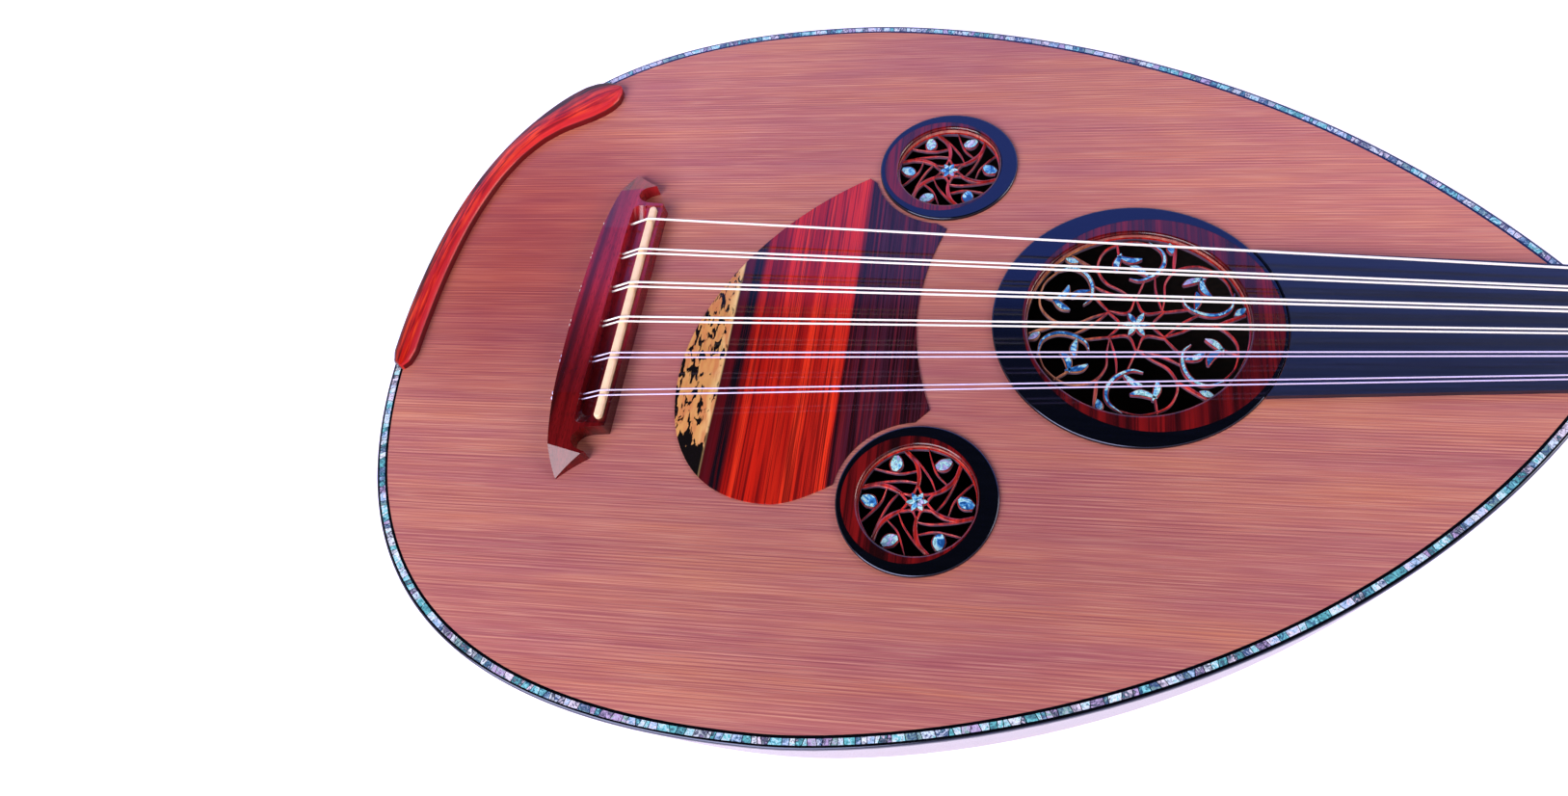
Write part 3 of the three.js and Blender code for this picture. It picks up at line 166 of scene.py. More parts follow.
def cedar():
    """Soundboard cedar: fine straight growth lines along x, with soft orange and purple streaks, and painted
    shade that darkens its lower side, the middle of its length and a patch beside the bridge.
    """
    s = Shade("cedar", roughness=0.42, specular=0.3)
    x, y = s.axis("X"), s.axis("Y")
    waver = s.math("MULTIPLY", s.noise((0.0008, 0.018, 0.01), 2.0, 0.5), 44.0)
    rings = s.math("SINE", s.math("ADD", s.math("MULTIPLY", y, 4.2), waver))
    rings = s.math("ADD", s.math("MULTIPLY", rings, 0.5), 0.5)
    strength = s.noise((0.0035, 0.07, 0.02), 2.0)
    lines = s.noise((0.0012, 1.4, 0.01), 1.5, 0.6)
    broad = s.noise((0.0018, 0.2, 0.01), 2.0, 0.55)
    fibre = s.noise((0.03, 2.6, 0.1), 1.0, 0.6)
    streak = s.noise((0.005, 0.05, 0.01), 3.0, 0.65)
    cloud = s.noise((0.007, 0.013, 0.01), 2.0)
    base = s.ramp(cloud, [(0.36, "c87c73"), (0.5, "d58976"), (0.64, "de9474")])
    streaks = [
        (streak, (0.36, 0.5), (0.5, 0.0), "b86c76"),
        (streak, (0.52, 0.0), (0.68, 0.5), "e8986a"),
        (broad, (0.36, 0.25), (0.5, 0.0), "aa6468"),
        (lines, (0.38, 0.4), (0.52, 0.0), "9c5660"),
        (lines, (0.55, 0.0), (0.68, 0.35), "f4bc9c"),
    ]
    base = s.layers(base, streaks)
    strong = s.ramp(strength, [(0.36, 0.12), (0.62, 0.62)])
    base = s.layers(base, [(rings, (0.5, 0.0), (0.95, 1.0), "984e58")], strong)
    fibres = [(fibre, (0.36, 0.3), (0.5, 0.0), "a8646a"), (fibre, (0.52, 0.0), (0.66, 0.3), "f6c4a4")]
    base = s.layers(base, fibres)
    # Painted light and shade over the whole board: darker towards its lower side and over the middle of its
    # length, lighter at its upper side.
    painted_shade_across = [
        (0.06, "f4eeee"), (0.2, "e8e2e2"), (0.36, "e8e0e0"),
        (0.55, "f2eae8"), (0.72, "fff8f2"), (0.9, "fffaf4"),
    ]
    painted_shade_along = [(0.04, "fffcf8"), (0.3, "ece8e8"), (0.45, "ece8e6"), (0.68, "fffcf8")]
    base = s.mix(1.0, base, s.ramp(s.share(x, -360.0, 720.0), painted_shade_along), "MULTIPLY")
    # Painted shade: a darker, redder patch between the bridge and the armrest.
    across = s.math("POWER", s.share(y, 45.0, 105.0), 2.0)
    along = s.math("POWER", s.share(x, -295.0, 82.0), 2.0)
    painted_shade_patch = s.ramp(s.math("ADD", across, along), [(0.0, 0.88), (1.0, 0.0)])
    base = s.mix(painted_shade_patch, base, "ce8e88", "MULTIPLY")
    return s.paint(s.mix(1.0, base, s.ramp(s.share(y, -200.0, 400.0), painted_shade_across), "MULTIPLY"))


def ribwood(name, dark, mid, light):
    """Wood of a stave: its grain follows the stave from end to end."""
    s = Shade(name, roughness=0.24, coat=0.2, specular=0.35)
    place = s.along_wood(4.0, 1.0, 7.3)
    figure = s.noise((1, 1, 1), 2.0, distort=0.4, place=place)
    fine = s.noise((4, 4, 4), 3.0, distort=0.4, place=place)
    base = s.ramp(figure, [(0.34, dark), (0.5, mid), (0.66, light)])
    return s.paint(s.layers(base, [(fine, (0.38, 0.7), (0.5, 0.0), dark)]))


def blackwood(name="ebony", roughness=0.14, specular=0.85, dark="010205", light="04050b", blue=0.0):
    s = Shade(name, roughness=roughness, coat=0, specular=specular)
    s.bsdf.inputs["Specular Tint"].default_value = (1 - 0.5 * blue, 1 - 0.4 * blue, 1, 1)
    grain = s.noise((0.02, 0.6, 0.4), 2.0)
    return s.paint(s.ramp(grain, [(0.3, dark), (0.7, light)]))


def banded(s, colours, streak):
    """Broad bands and dark streaks along y, in the colours dark, mid and light."""
    dark, mid, light = colours
    band = s.noise((0.16, 0.006, 0.05), 2.0, 0.6)
    line = s.noise((0.9, 0.02, 0.2), 2.0, 0.6)
    base = s.ramp(band, [(0.32, dark), (0.48, mid), (0.66, light)])
    return s.layers(base, [(line, (0.36, streak), (0.52, 0.0), dark)])


def cocobolo():
    s = Shade("cocobolo", roughness=0.14, coat=0.2)
    return s.paint(banded(s, ("1c0305", "50080c", "781010"), 0.7))


def bridge_wood():
    """Redder than the rings, with dark pores, and painted shade that darkens it towards its treble end."""
    s = Shade("bridge_wood", roughness=0.2, coat=0.4, specular=0.35)
    base = banded(s, ("541014", "941820", "ac2228"), 0.3)
    fine = s.noise((2.4, 0.3, 0.5), 2.0, 0.6)
    base = s.layers(base, [(fine, (0.36, 0.6), (0.46, 0.0), "541014")])
    # Painted shade: the treble end is multiplied darker.
    treble = s.ramp(s.share(s.axis("Y"), -90.0, 180.0), [(0.3, 0.85), (0.55, 0.0)])
    return s.paint(s.mix(treble, base, "8c6450", "MULTIPLY"))


GUARD_TURN = -0.012  # radians: how far the plate's grain leans


def guardwood():
    """A plate cut across the edge of a log: sapwood, a dark line, red heartwood, a black band."""
    s = Shade("guard_wood", roughness=0.1, coat=0.1, specular=0.4)
    x, y = s.axis("X"), s.axis("Y")
    wobble = s.math("MULTIPLY", s.noise((0.05, 0.012, 0.1), 1.0), 3.0)
    place = s.math("SUBTRACT", s.math("SUBTRACT", x, s.math("MULTIPLY", y, -GUARD_TURN)), wobble)
    share = s.share(place, -200.0, 120.0)
    zones = [
        (0.135, "d49a58"), (0.165, "ecc884"), (0.172, "3c0c14"), (0.2, "5c0f18"), (0.212, "0a0a12"),
        (0.242, "0c0a12"), (0.262, "96120c"), (0.36, "c01e10"), (0.45, "a8180e"), (0.62, "ce2818"),
        (0.632, "4e1424"), (0.7, "421a2a"), (1.0, "34141f"),
    ]
    sap = s.ramp(share, [(0.166, 1.0), (0.172, 0.0)])
    heart = s.ramp(share, [(0.17, 0.0), (0.175, 1.0)])
    red = s.ramp(share, [(0.25, 0.0), (0.28, 1.0), (0.61, 1.0), (0.64, 0.0)])
    end = s.ramp(share, [(0.62, 0.0), (0.632, 1.0)])
    fine = s.noise((1.6, 0.02, 0.1), 2.0, 0.7, turn=GUARD_TURN)
    thin = s.noise((0.75, 0.008, 0.1), 2.0, 0.65, turn=GUARD_TURN)
    broad = s.noise((0.16, 0.004, 0.1), 1.0, turn=GUARD_TURN)
    flame = s.noise((0.35, 0.07, 0.1), 2.0, 0.6)
    speck = s.noise((0.42, 0.13, 0.3), 2.5, 0.62, 0.5)
    low = s.ramp(s.share(y, -100.0, 200.0), [(0.11, 0.4), (0.2, 0.0), (0.8, 0.0)])
    edge = s.ramp(share, [(0.0, 0.12), (0.05, 0.08), (0.1, 0.055), (0.13, 0.05), (0.15, 0.0)])
    crowd = s.math("ADD", s.math("ADD", speck, edge), low)
    red_rows = [(broad, (0.48, 0.0), (0.66, 0.75), "f03a1c"), (broad, (0.32, 0.8), (0.44, 0.0), "6c0a0c")]
    end_rows = [
        (broad, (0.4, 0.75), (0.55, 0.0), "1c0a14"),
        (thin, (0.4, 0.8), (0.5, 0.0), "0e060c"),
        (thin, (0.54, 0.0), (0.66, 0.7), "741c24"),
    ]
    base = s.layers(s.ramp(share, zones), red_rows, red)
    base = s.layers(base, [(thin, (0.4, 0.7), (0.48, 0.0), "4a060a")], heart)
    base = s.layers(base, end_rows, end)
    base = s.layers(base, [(fine, (0.38, 0.6), (0.48, 0.0), "4a0a0e")], heart)
    base = s.layers(base, [(flame, (0.42, 0.0), (0.6, 0.85), "c87c4a")], sap)
    return s.paint(s.layers(base, [(crowd, (0.585, 0.0), (0.62, 1.0), "100c0c")], sap))


def armwood():
    """Orange-red wood, with painted shade on the outer edge and on the upright inner side, and a painted pink
    highlight along the rounded inner edge.
    """
    s = Shade("arm_wood", roughness=0.28, coat=0.05, specular=0.25)
    across = s.attribute("across")
    figure = s.noise((0.05, 0.05, 0.1), 2.0, 0.5, 0.6)
    grain = s.noise((1, 1, 1), 3.0, 0.5, 0.6, place=s.along_wood(9.0, 0.9))
    wander = s.math("MULTIPLY", s.math("SUBTRACT", grain, 0.5), 0.7)
    shade = s.math("ADD", across, wander)
    rows = [
        (grain, (0.4, 0.7), (0.52, 0.0), "70100a"),
        (grain, (0.55, 0.0), (0.7, 0.5), "ff5a24"),
        # painted shade on the outer edge, which faces away from the light
        (shade, (0.12, 0.95), (0.46, 0.0), "1c0408"),
        # painted pink highlight along the rounded inner edge
        (across, (0.72, 0.0), (0.88, 0.7), "d83038"),
        # painted shade on the upright inner side
        (across, (0.975, 0.0), (0.995, 0.85), "3c060c"),
    ]
    return s.paint(s.layers(s.ramp(figure, [(0.36, "b8180c"), (0.5, "d42c14"), (0.66, "e84018")]), rows))


def shell_pieces():
    """Mother of pearl laid in short pieces, each with a colour of its own."""
    s = Shade("shell", roughness=0.14, coat=0.3)
    own = s.geometry("Random Per Island")
    wave = s.noise((0.4, 0.4, 0.4), 2.0, 0.6, 1.5)
    mixed = s.math("FRACT", s.math("ADD", own, s.math("MULTIPLY", wave, 0.35)))
    tones = [
        (0.0, "f4fafc"), (0.08, "84d8dc"), (0.16, "1c4064"), (0.24, "a8cce8"), (0.32, "f4e8f4"),
        (0.4, "38445c"), (0.5, "6cc8c8"), (0.58, "e4f2fc"), (0.66, "1c3c74"), (0.76, "94bcb0"),
        (0.84, "ccb4dc"), (0.92, "24344c"), (1.0, "ecf4fa"),
    ]
    vein = s.noise((1.1, 1.1, 1.1), 2.0, 0.7, 2.0)
    return s.paint(s.layers(s.ramp(mixed, tones), [(vein, (0.38, 0.7), (0.46, 0.0), "101c30")]))


def shell_blue(name, shift):
    """Paler and bluer shell for the rosettes: broad soft patches, and each piece with a tone of its own."""
    s = Shade(name, roughness=0.1, coat=0.4)
    own = s.math("MULTIPLY", s.math("SUBTRACT", s.geometry("Random Per Island"), 0.5), 0.26)
    wave = s.math("ADD", s.math("ADD", s.noise((0.22, 0.22, 0.22), 2.5, 0.55, 1.5), shift), own)
    tones = [
        (0.3, "1c5088"), (0.38, "3c88cc"), (0.46, "8cd4e0"), (0.52, "d4f4e8"),
        (0.58, "5cb8b4"), (0.65, "a890cc"), (0.74, "dce0f4"),
    ]
    vein = s.noise((0.9, 0.9, 0.9), 2.0, 0.7, 2.0)
    return s.paint(s.layers(s.ramp(wave, tones), [(vein, (0.36, 0.7), (0.44, 0.0), "1c4466")]))


def vinewood():
    """Red fretwork wood, tan on the large rosette's tail side, with a painted pale reflection on its upright
    sides.
    """
    s = Shade("vine_wood", roughness=0.25, coat=0.2)
    grain = s.noise((0.5, 0.02, 0.2), 2.0)
    red = s.ramp(grain, [(0.35, "70100c"), (0.5, "9c1a12"), (0.65, "c42a1c")])
    tan = s.ramp(grain, [(0.35, "8a4c2c"), (0.6, "b8784c")])
    x = s.math("ADD", s.axis("X"), s.math("MULTIPLY", s.noise((0.1, 0.02, 0.1), 1.0), 6.0))
    tail = s.ramp(s.share(x, -60.0, 100.0), [(0.0, 0.0), (0.02, 1.0), (0.38, 1.0), (0.5, 0.0)])
    # Painted reflection: faces that stand upright are mixed towards a pale greyish lavender.
    side = s.ramp(s.axis("Z", s.geometry("Normal")), [(0.1, 0.85), (0.6, 0.0)])
    return s.paint(s.mix(side, s.mix(tail, red, tan), "565268"))


def plain(name, colour, roughness, coat=0.0, mottle=0.22):
    s = Shade(name, roughness=roughness, coat=coat)
    grain = s.noise((0.05, 0.5, 0.3), 2.0)
    return s.paint(s.layers(colour, [(grain, (0.35, mottle), (0.6, 0.0), "3a2418")]))


def string_metal(name, colour, shade, roughness, coat):
    s = Shade(name, roughness=roughness, coat=coat, specular=0.8)
    turns = s.noise((6.0, 0.4, 0.4), 1.0)
    return s.paint(s.layers(colour, [(turns, (0.4, 0.2), (0.6, 0.0), shade)]))


M = {
    "cedar": cedar(),
    "ebony": blackwood(roughness=0.2, specular=0.5, dark="050507", light="0c0b0d"),
    "ring_black": blackwood("ring_black", blue=0.75),
    # the fingerboard's navy tone is a painted blue sheen
    "satin_black": blackwood("satin_black", 0.3, 0.9, "0d1220", "161e32", 0.6),
    "cocobolo": cocobolo(),
    "bridge_wood": bridge_wood(),
    "vine": vinewood(),
    "guard": guardwood(),
    "arm": armwood(),
    "shell": shell_pieces(),
    "shell_main": shell_blue("shell_main", -0.07),
    "shell_side": shell_blue("shell_side", -0.01),
    "bone": plain("bone", "ffddb0", 0.35, 0.1, mottle=0.05),
    "spruce": plain("spruce", "c9a878", 0.7),
    "rib_a": ribwood("rib_a", "240c08", "461a10", "6a2e1a"),
    "rib_b": ribwood("rib_b", "120a08", "22120e", "321c14"),
    "line": plain("line", "d9bd8c", 0.5),
    "wound": string_metal("wound", "fffaee", "d8c8a8", 0.3, 0.3),
    "nylon": string_metal("nylon", "dcd0f4", "b8a8d8", 0.25, 0.3),
    # near black: painted shade for the inside of the bowl
    "inside": plain("inside", "140c0a", 0.9),
}


# Geometry helpers
def at(x, y, z):
    """A board place in the scene's metres."""
    return CENTRE + Vector((x, y, z)) * MM


def mesh_of(name, points, faces):
    mesh = bpy.data.meshes.new(name)
    mesh.from_pydata([at(*p) for p in points], [], faces)
    work = bmesh.new()
    work.from_mesh(mesh)
    bmesh.ops.recalc_face_normals(work, faces=work.faces)
    work.to_mesh(mesh)
    work.free()
    return mesh


def placed(name, data):
    thing = bpy.data.objects.new(name, data)
    bpy.context.scene.collection.objects.link(thing)
    return thing


def finish_mesh(mesh, material, angle):
    """One material, smooth faces, and sharp edges past an angle in degrees."""
    mesh.materials.clear()
    mesh.materials.append(M[material])
    mesh.shade_smooth()
    mesh.set_sharp_from_angle(angle=math.radians(angle))


def piece(name, points, faces, material, slot, replaces=(), body=BODY, angle=35.0):
    mesh = mesh_of(name, points, faces)
    mesh.validate()
    finish_mesh(mesh, material, angle)
    thing = placed(name, mesh)
    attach(thing, body)
    if replaces:
        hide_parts(*replaces)
    return thing


def add_layer(thing, name, values):
    """A number on each point, which a material reads by its name."""
    thing.data.attributes.new(name, "FLOAT", "POINT").data.foreach_set("value", values)


def skin(rings, closed=False):
    """Faces over rings of equally many points, capped at both ends unless the rings close."""
    count = len(rings[0])
    points = [p for ring in rings for p in ring]
    faces = []
    last = len(rings) if closed else len(rings) - 1
    for i in range(last):
        a, b = i * count, ((i + 1) % len(rings)) * count
        for j in range(count):
            k = (j + 1) % count
            faces.append((a + j, a + k, b + k, b + j))
    if not closed:
        faces.append(tuple(reversed(range(count))))
        faces.append(tuple(range((len(rings) - 1) * count, len(rings) * count)))
    return points, faces


def join_parts(parts):
    points, faces = [], []
    for some, theirs in parts:
        base = len(points)
        points += some
        faces += [tuple(base + i for i in f) for f in theirs]
    return points, faces


def spaced(low, high, steps):
    """Evenly spaced numbers, both ends among them."""
    return [low + (high - low) * i / steps for i in range(steps + 1)]


def turns_of(count):
    """Angles all the way round."""
    return spaced(0, 2 * math.pi, count)[:-1]


def bezier(p, steps):
    """Points of a cubic curve, without its last one."""
    out = []
    for t in spaced(0, 1, steps)[:-1]:
        shares = ((1 - t) ** 3, 3 * t * (1 - t) ** 2, 3 * t * t * (1 - t), t**3)
        out.append(tuple(sum(share * q[axis] for share, q in zip(shares, p)) for axis in (0, 1)))
    return out


def quad(a, b, c, shares):
    """Points of the curve from a to c that b pulls at, at the given shares of it."""
    out = []
    for t in shares:
        out.append(tuple((1 - t) ** 2 * u + 2 * t * (1 - t) * v + t * t * w for u, v, w in zip(a, b, c)))
    return out


def arc(x, y, radius, degrees):
    turns = [math.radians(d) for d in degrees]
    return [(x + radius * math.cos(a), y + radius * math.sin(a)) for a in turns]


def circle(x, y, radius, count, z):
    return [(x + radius * math.cos(a), y + radius * math.sin(a), z) for a in turns_of(count)]


def bar(x, y, half_length, half_width, steps=12):
    """A long outline along y with round ends."""
    reach = half_length - half_width
    far = arc(x, y + reach, half_width, spaced(0, 180, steps))
    return far + arc(x, y - reach, half_width, spaced(180, 360, steps))


def area(outline):
    pairs = zip(outline, outline[1:] + outline[:1])
    return sum(ax * by - bx * ay for (ax, ay), (bx, by) in pairs) / 2


def inset(outline, distance):
    """Each point moved in along the mean normal of its two sides."""
    side = 1 if area(outline) > 0 else -1
    out = []
    for i, (x, y) in enumerate(outline):
        ax, ay = outline[i - 1]
        bx, by = outline[(i + 1) % len(outline)]
        dx, dy = bx - ax, by - ay
        length = math.hypot(dx, dy) or 1
        out.append((x - side * dy / length * distance, y + side * dx / length * distance))
    return out


def stack(outline, levels):
    """A solid over one outline, which is moved in by a distance at each height."""
    return skin([[(x, y, z) for x, y in (inset(outline, deep) if deep else outline)] for z, deep in levels])


def prism(outline, low, high, edge=0.0):
    """A plate with an optional small bevel on its upper edge."""
    if edge:
        return stack(outline, [(low, 0), (high - edge, 0), (high, edge)])
    return stack(outline, [(low, 0), (high, 0)])


def box_points(low, high):
    (x0, y0, z0), (x1, y1, z1) = low, high
    corners = [(x, y, z) for z in (z0, z1) for x, y in ((x0, y0), (x1, y0), (x1, y1), (x0, y1))]
    return corners, [(0, 3, 2, 1), (4, 5, 6, 7), (0, 1, 5, 4), (1, 2, 6, 5), (2, 3, 7, 6), (3, 0, 4, 7)]


def cut(thing, points, faces):
    tool = placed("cutter", mesh_of("cutter", points, faces))
    change = thing.modifiers.new("cut", "BOOLEAN")
    change.operation = "DIFFERENCE"
    change.solver = "EXACT"
    change.object = tool
    return tool


def bake(thing, tools):
    """Turns the modifiers into plain mesh and drops the cutting tools."""
    bpy.context.view_layer.update()
    graph = bpy.context.evaluated_depsgraph_get()
    mesh = bpy.data.meshes.new_from_object(thing.evaluated_get(graph))
    thing.modifiers.clear()
    thing.data = mesh
    for tool in tools:
        bpy.data.objects.remove(tool)
    return mesh


# Body outline: half of it from the tail to the neck joint, and the length run along it
SEAT = 0.3  # gap between seated pieces
TAIL_X, WIDE_X, HALF = -339.6, -135.9, 188.5
JOINT_X, JOINT_HALF = 174.0, 29.8
JOINT_END = JOINT_X - SEAT
FRONT, BACK = JOINT_X - WIDE_X, WIDE_X - TAIL_X
SLOPE = math.radians(53)  # of the outline where it meets the neck
TAIL_PULL, BACK_PULL, FRONT_PULL, SHOULDER_PULL = 0.541, 0.815, 0.112, 0.582
PULL = FRONT * SHOULDER_PULL
SHOULDER = (JOINT_X - PULL * math.cos(SLOPE), JOINT_HALF + PULL * math.sin(SLOPE))
WAIST = (WIDE_X, HALF)
BACK_STEPS, FRONT_STEPS = 400, 600
SIDE = bezier([(TAIL_X, 0), (TAIL_X, HALF * TAIL_PULL), (WIDE_X - BACK * BACK_PULL, HALF), WAIST], BACK_STEPS)
SIDE += bezier([WAIST, (WIDE_X + FRONT * FRONT_PULL, HALF), SHOULDER, (JOINT_X, JOINT_HALF)], FRONT_STEPS)
SIDE.append((JOINT_X, JOINT_HALF))
RUN = [0.0]
for one, two in zip(SIDE, SIDE[1:]):
    RUN.append(RUN[-1] + math.dist(one, two))
LENGTH = RUN[-1]


def rim(along, deep=0.0):
    """A point of the rim at a signed distance from the tail, moved in by deep."""
    target = min(abs(along), LENGTH)
    low = min(bisect.bisect(RUN, target), len(RUN) - 1) - 1
    share = (target - RUN[low]) / (RUN[low + 1] - RUN[low])
    (ax, ay), (bx, by) = SIDE[low], SIDE[low + 1]
    size = math.dist((ax, ay), (bx, by))
    tx, ty = (bx - ax) / size, (by - ay) / size
    x, y = ax + (bx - ax) * share, ay + (by - ay) * share
    x, y = x + ty * deep, y - tx * deep
    return (x, -y if along < 0 else y)


# Sound holes: name, centre, radii of the black ring, the seam and the opening, the seam's shift, steps round
SIDE_X, SIDE_Y = -86.8, 87.8
SIDE_RADIUS = 33.0
HOLES = [
    ("main", 0.0, 0.0, 61.5, 54.4, 46.7, 5.8, 128),
    ("bass", SIDE_X, SIDE_Y, SIDE_RADIUS, 28.1, 24.3, -2.8, 96),
    ("treble", SIDE_X, -SIDE_Y, SIDE_RADIUS, 28.1, 24.3, -2.8, 96),
]

# Soundboard, binding and shell strip
BOARD_THICK = 2.0
BINDING_WIDE = 5.0
BOARD_GAP = 0.1
BOARD_STEPS, BINDING_STEPS = 240, 300
BRACES = [-292, -234, -177, -121.5, 62, 108]
BRACE_HALF, BRACE_LOW, BRACE_REACH = 3, -14, 0.82  # half width, underside, share of the board's half width
NEAR = 4  # the board's half width is looked for this near a brace
LIP_LOW = -1.2  # the underside of the binding's part that lies on the board's edge
# the binding's section: distance in from the rim, and height
BINDING_SECTION = [
    (BINDING_WIDE, LIP_LOW), (BINDING_WIDE, 0.0), (4.0, 0.0), (3.95, -0.25), (1.5, -0.25), (1.45, 0.0),
    (0.95, -0.02), (0.55, -0.12), (0.25, -0.35), (0.06, -0.7), (0.0, -1.1), (0.0, -BOARD_THICK),
    (0.7, -BOARD_THICK), (0.7, LIP_LOW),
]
SHELL_LENGTHS = [1.6, 2.2, 2.8, 3.4, 4.2, 5.0]
SHELL_IN, SHELL_OUT = 3.93, 1.47  # the strip's two edges, in from the rim
SHELL_LOW, SHELL_HIGH = -0.3, -0.02
SHELL_JOINT = 0.16  # half the dark seam between two pieces
SHELL_LEAN, FIRST_LEAN = 0.5, 0.3  # how far a piece's end may lean, and the first one's lean
SHELL_START, SHELL_STOP = 1.0, 4  # the strip's distances from the body's joint


def make_board():
    outline = [rim(along, BINDING_WIDE + BOARD_GAP) for along in spaced(-LENGTH, LENGTH, BOARD_STEPS)]
    outline = [(min(x, JOINT_END), y) for x, y in outline]
    board = piece("board", *prism(outline, -BOARD_THICK, 0), "cedar", "cedar", ["soundboard"])
    tools = []
    for _, x, y, _, _, opening, _, n in HOLES:
        rings = [circle(x, y, opening + SEAT, n, z) for z in (-2 * BOARD_THICK, BOARD_THICK)]
        tools.append(cut(board, *skin(rings)))
    finish_mesh(bake(board, tools), "cedar", 30)
    parts = []
    for x in BRACES:
        half = BRACE_REACH * max(y for px, y in SIDE if abs(px - x) < NEAR)
        parts.append(box_points((x - BRACE_HALF, -half, BRACE_LOW), (x + BRACE_HALF, half, -BOARD_THICK)))
    piece("braces", *join_parts(parts), "spruce", "cedar")


def make_binding():
    reach = LENGTH - SEAT
    rings = []
    for along in spaced(-reach, reach, BINDING_STEPS):
        places = [(rim(along, deep), z) for deep, z in BINDING_SECTION]
        rings.append([(min(x, JOINT_END), y, z) for (x, y), z in places])
    piece("binding", *skin(rings), "ring_black", "ebony", ["edge_binding"], angle=50)


def make_shell_strip():
    chance = random.Random(7)
    parts = []
    along = SHELL_START - LENGTH
    lean = FIRST_LEAN
    while along < LENGTH - SHELL_STOP:
        length = chance.choice(SHELL_LENGTHS)
        following = chance.uniform(-SHELL_LEAN, SHELL_LEAN)
        a, b = along + SHELL_JOINT, min(along + length - SHELL_JOINT, LENGTH - SHELL_START)
        low = [rim(a - lean, SHELL_IN), rim(b - following, SHELL_IN)]
        high = [rim(b + following, SHELL_OUT), rim(a + lean, SHELL_OUT)]
        parts.append(prism(low + high, SHELL_LOW, SHELL_HIGH))
        along += length
        lean = following
    piece("shell_strip", *join_parts(parts), "shell", "shell", ["edge_purfling"])


# Bowl
RIBS = 11
RIB_THICK = 3
FLOOR_Z = -185
# the bowl's depth for each millimetre of half width
DEPTH = (RIB_THICK - FLOOR_Z) / (HALF * math.cos(math.pi / (2 * RIBS)))
RIB_TOP = -BOARD_THICK - SEAT
RIB_STATIONS, RIB_CROWDING = 60, 1.1
RIB_MARKS = [0, 0.25, 0.5, 0.75, 1]
RIB_JOINT = 0.15  # half the seam between two staves
FIGURE_STEP = 14  # so many sections to a unit of the wood's figure
BLOCK_HALF = 30  # the ribs start where the rim is wider than this
LINER_GAP, LINER_THICK, LINER_SEAT = 0.25, 0.3, 0.05
LINER_END = 4  # its distance from the neck joint


def bowl_stations(length):
    """Distances from the tail of the sections through the bowl, closer together at the tail."""
    return [share**RIB_CROWDING * length for share in spaced(0, 1, RIB_STATIONS)]


def make_ribs():
    stations = [(rim(along), rim(along, RIB_THICK)) for along in bowl_stations(LENGTH)]
    kept = [station for station in stations if station[0][1] > BLOCK_HALF]
    for index in range(RIBS):
        start, end = math.pi * index / RIBS, math.pi * (index + 1) / RIBS
        rings, marks, runs = [], [], []
        for number, (outer, inner) in enumerate(kept):
            ring = []
            for (x, r), order in ((outer, 1), (inner, -1)):
                a = (r * math.cos(start), -r * math.sin(start) * DEPTH)
                b = (r * math.cos(end), -r * math.sin(end) * DEPTH)
                seam = RIB_JOINT / math.dist(a, b)
                lowest = FLOOR_Z if order > 0 else FLOOR_Z + RIB_THICK
                row = []
                for t in (seam, *RIB_MARKS[1:-1], 1 - seam):
                    y, z = a[0] + (b[0] - a[0]) * t, a[1] + (b[1] - a[1]) * t
                    row.append((min(x, JOINT_END), y, max(min(z, RIB_TOP), lowest)))
                ring += row[::order]
                marks += RIB_MARKS[::order]
                runs += [number / FIGURE_STEP] * len(row)
            rings.append(ring)
        name = f"rib_{index + 1:02d}"
        kind, slot = ("rib_a", "rib_dark") if index % 2 == 0 else ("rib_b", "ebony")
        thing = piece(name + "_face", *skin(rings), kind, slot, [name], angle=40)
        add_layer(thing, "across", marks)
        add_layer(thing, "along", runs)
        add_layer(thing, "stave", [index] * len(marks))


def make_liner():
    """Paper that covers the seams inside the bowl, painted near black as shade for the bowl's dark inside."""
    inner, outer = RIB_THICK + LINER_GAP + LINER_THICK, RIB_THICK + LINER_GAP
    rings = []
    for along in bowl_stations(LENGTH - LINER_END):
        ring = []
        for deep, order in ((outer, 1), (inner, -1)):
            x, r = rim(along, deep)
            if r < BLOCK_HALF - RIB_THICK:
                break
            lowest = FLOOR_Z + deep + LINER_SEAT
            row = []
            for a in spaced(0, math.pi, RIBS):
                z = max(min(-r * math.sin(a) * DEPTH, RIB_TOP - 2 * LINER_SEAT), lowest)
                row.append((min(x, JOINT_X - LINER_END), r * math.cos(a), z))
            ring += row[::order]
        if len(ring) == 2 * (RIBS + 1):
            rings.append(ring)
    piece("bowl_liner", *skin(rings), "inside", "ebony", angle=30)


# Rings and rosettes
RING_HIGH = 1.6
RING_SEAM, RING_JOINT = 0.15, 0.03  # how far the seam lies inside its nominal radius, and half its width
RING_FLAT = 0.15  # between a rounded edge and the flat top
EDGE_STEPS = 5
BLACK_EDGE, RED_EDGE = 0.7, 1.1  # the rounded edges' radii
# the fretwork's heights: underside, top, and the tops of the dark seams and the shell pieces
FRET_LOW, FRET_HIGH, SEAM_HIGH, PEARL_HIGH, PEARL_LOW = -3.8, -2.1, -2.07, -2.02, -2.4
# the fretwork's rim: how far each corner lies outside the opening, and its height
RIM_SECTION = [(3.9, -4.1), (3.9, -2.05), (0.1, -2.05), (-0.4, -2.3), (-0.4, -4.1)]
FRET_EDGE = 0.2
SEAM_WIDE, PEARL_WIDE = 0.6, 1.1  # how much narrower than the wood the seam and the shell are
SEAM_TAPER, PEARL_TAPER = 0.1, 0.15  # and how much more they taper
LOBES = 6

# Kinds of stroke: factor on the width, share of the width left at the ends, steps for each point of the path
KINDS = {"vine": (1.0, 0.5, 6), "thin": (0.85, 0.5, 6), "leaf": (1.2, 0.3, 6), "drop": (1.3, 0.5, 4)}
SHELL_KINDS = ("leaf", "drop")
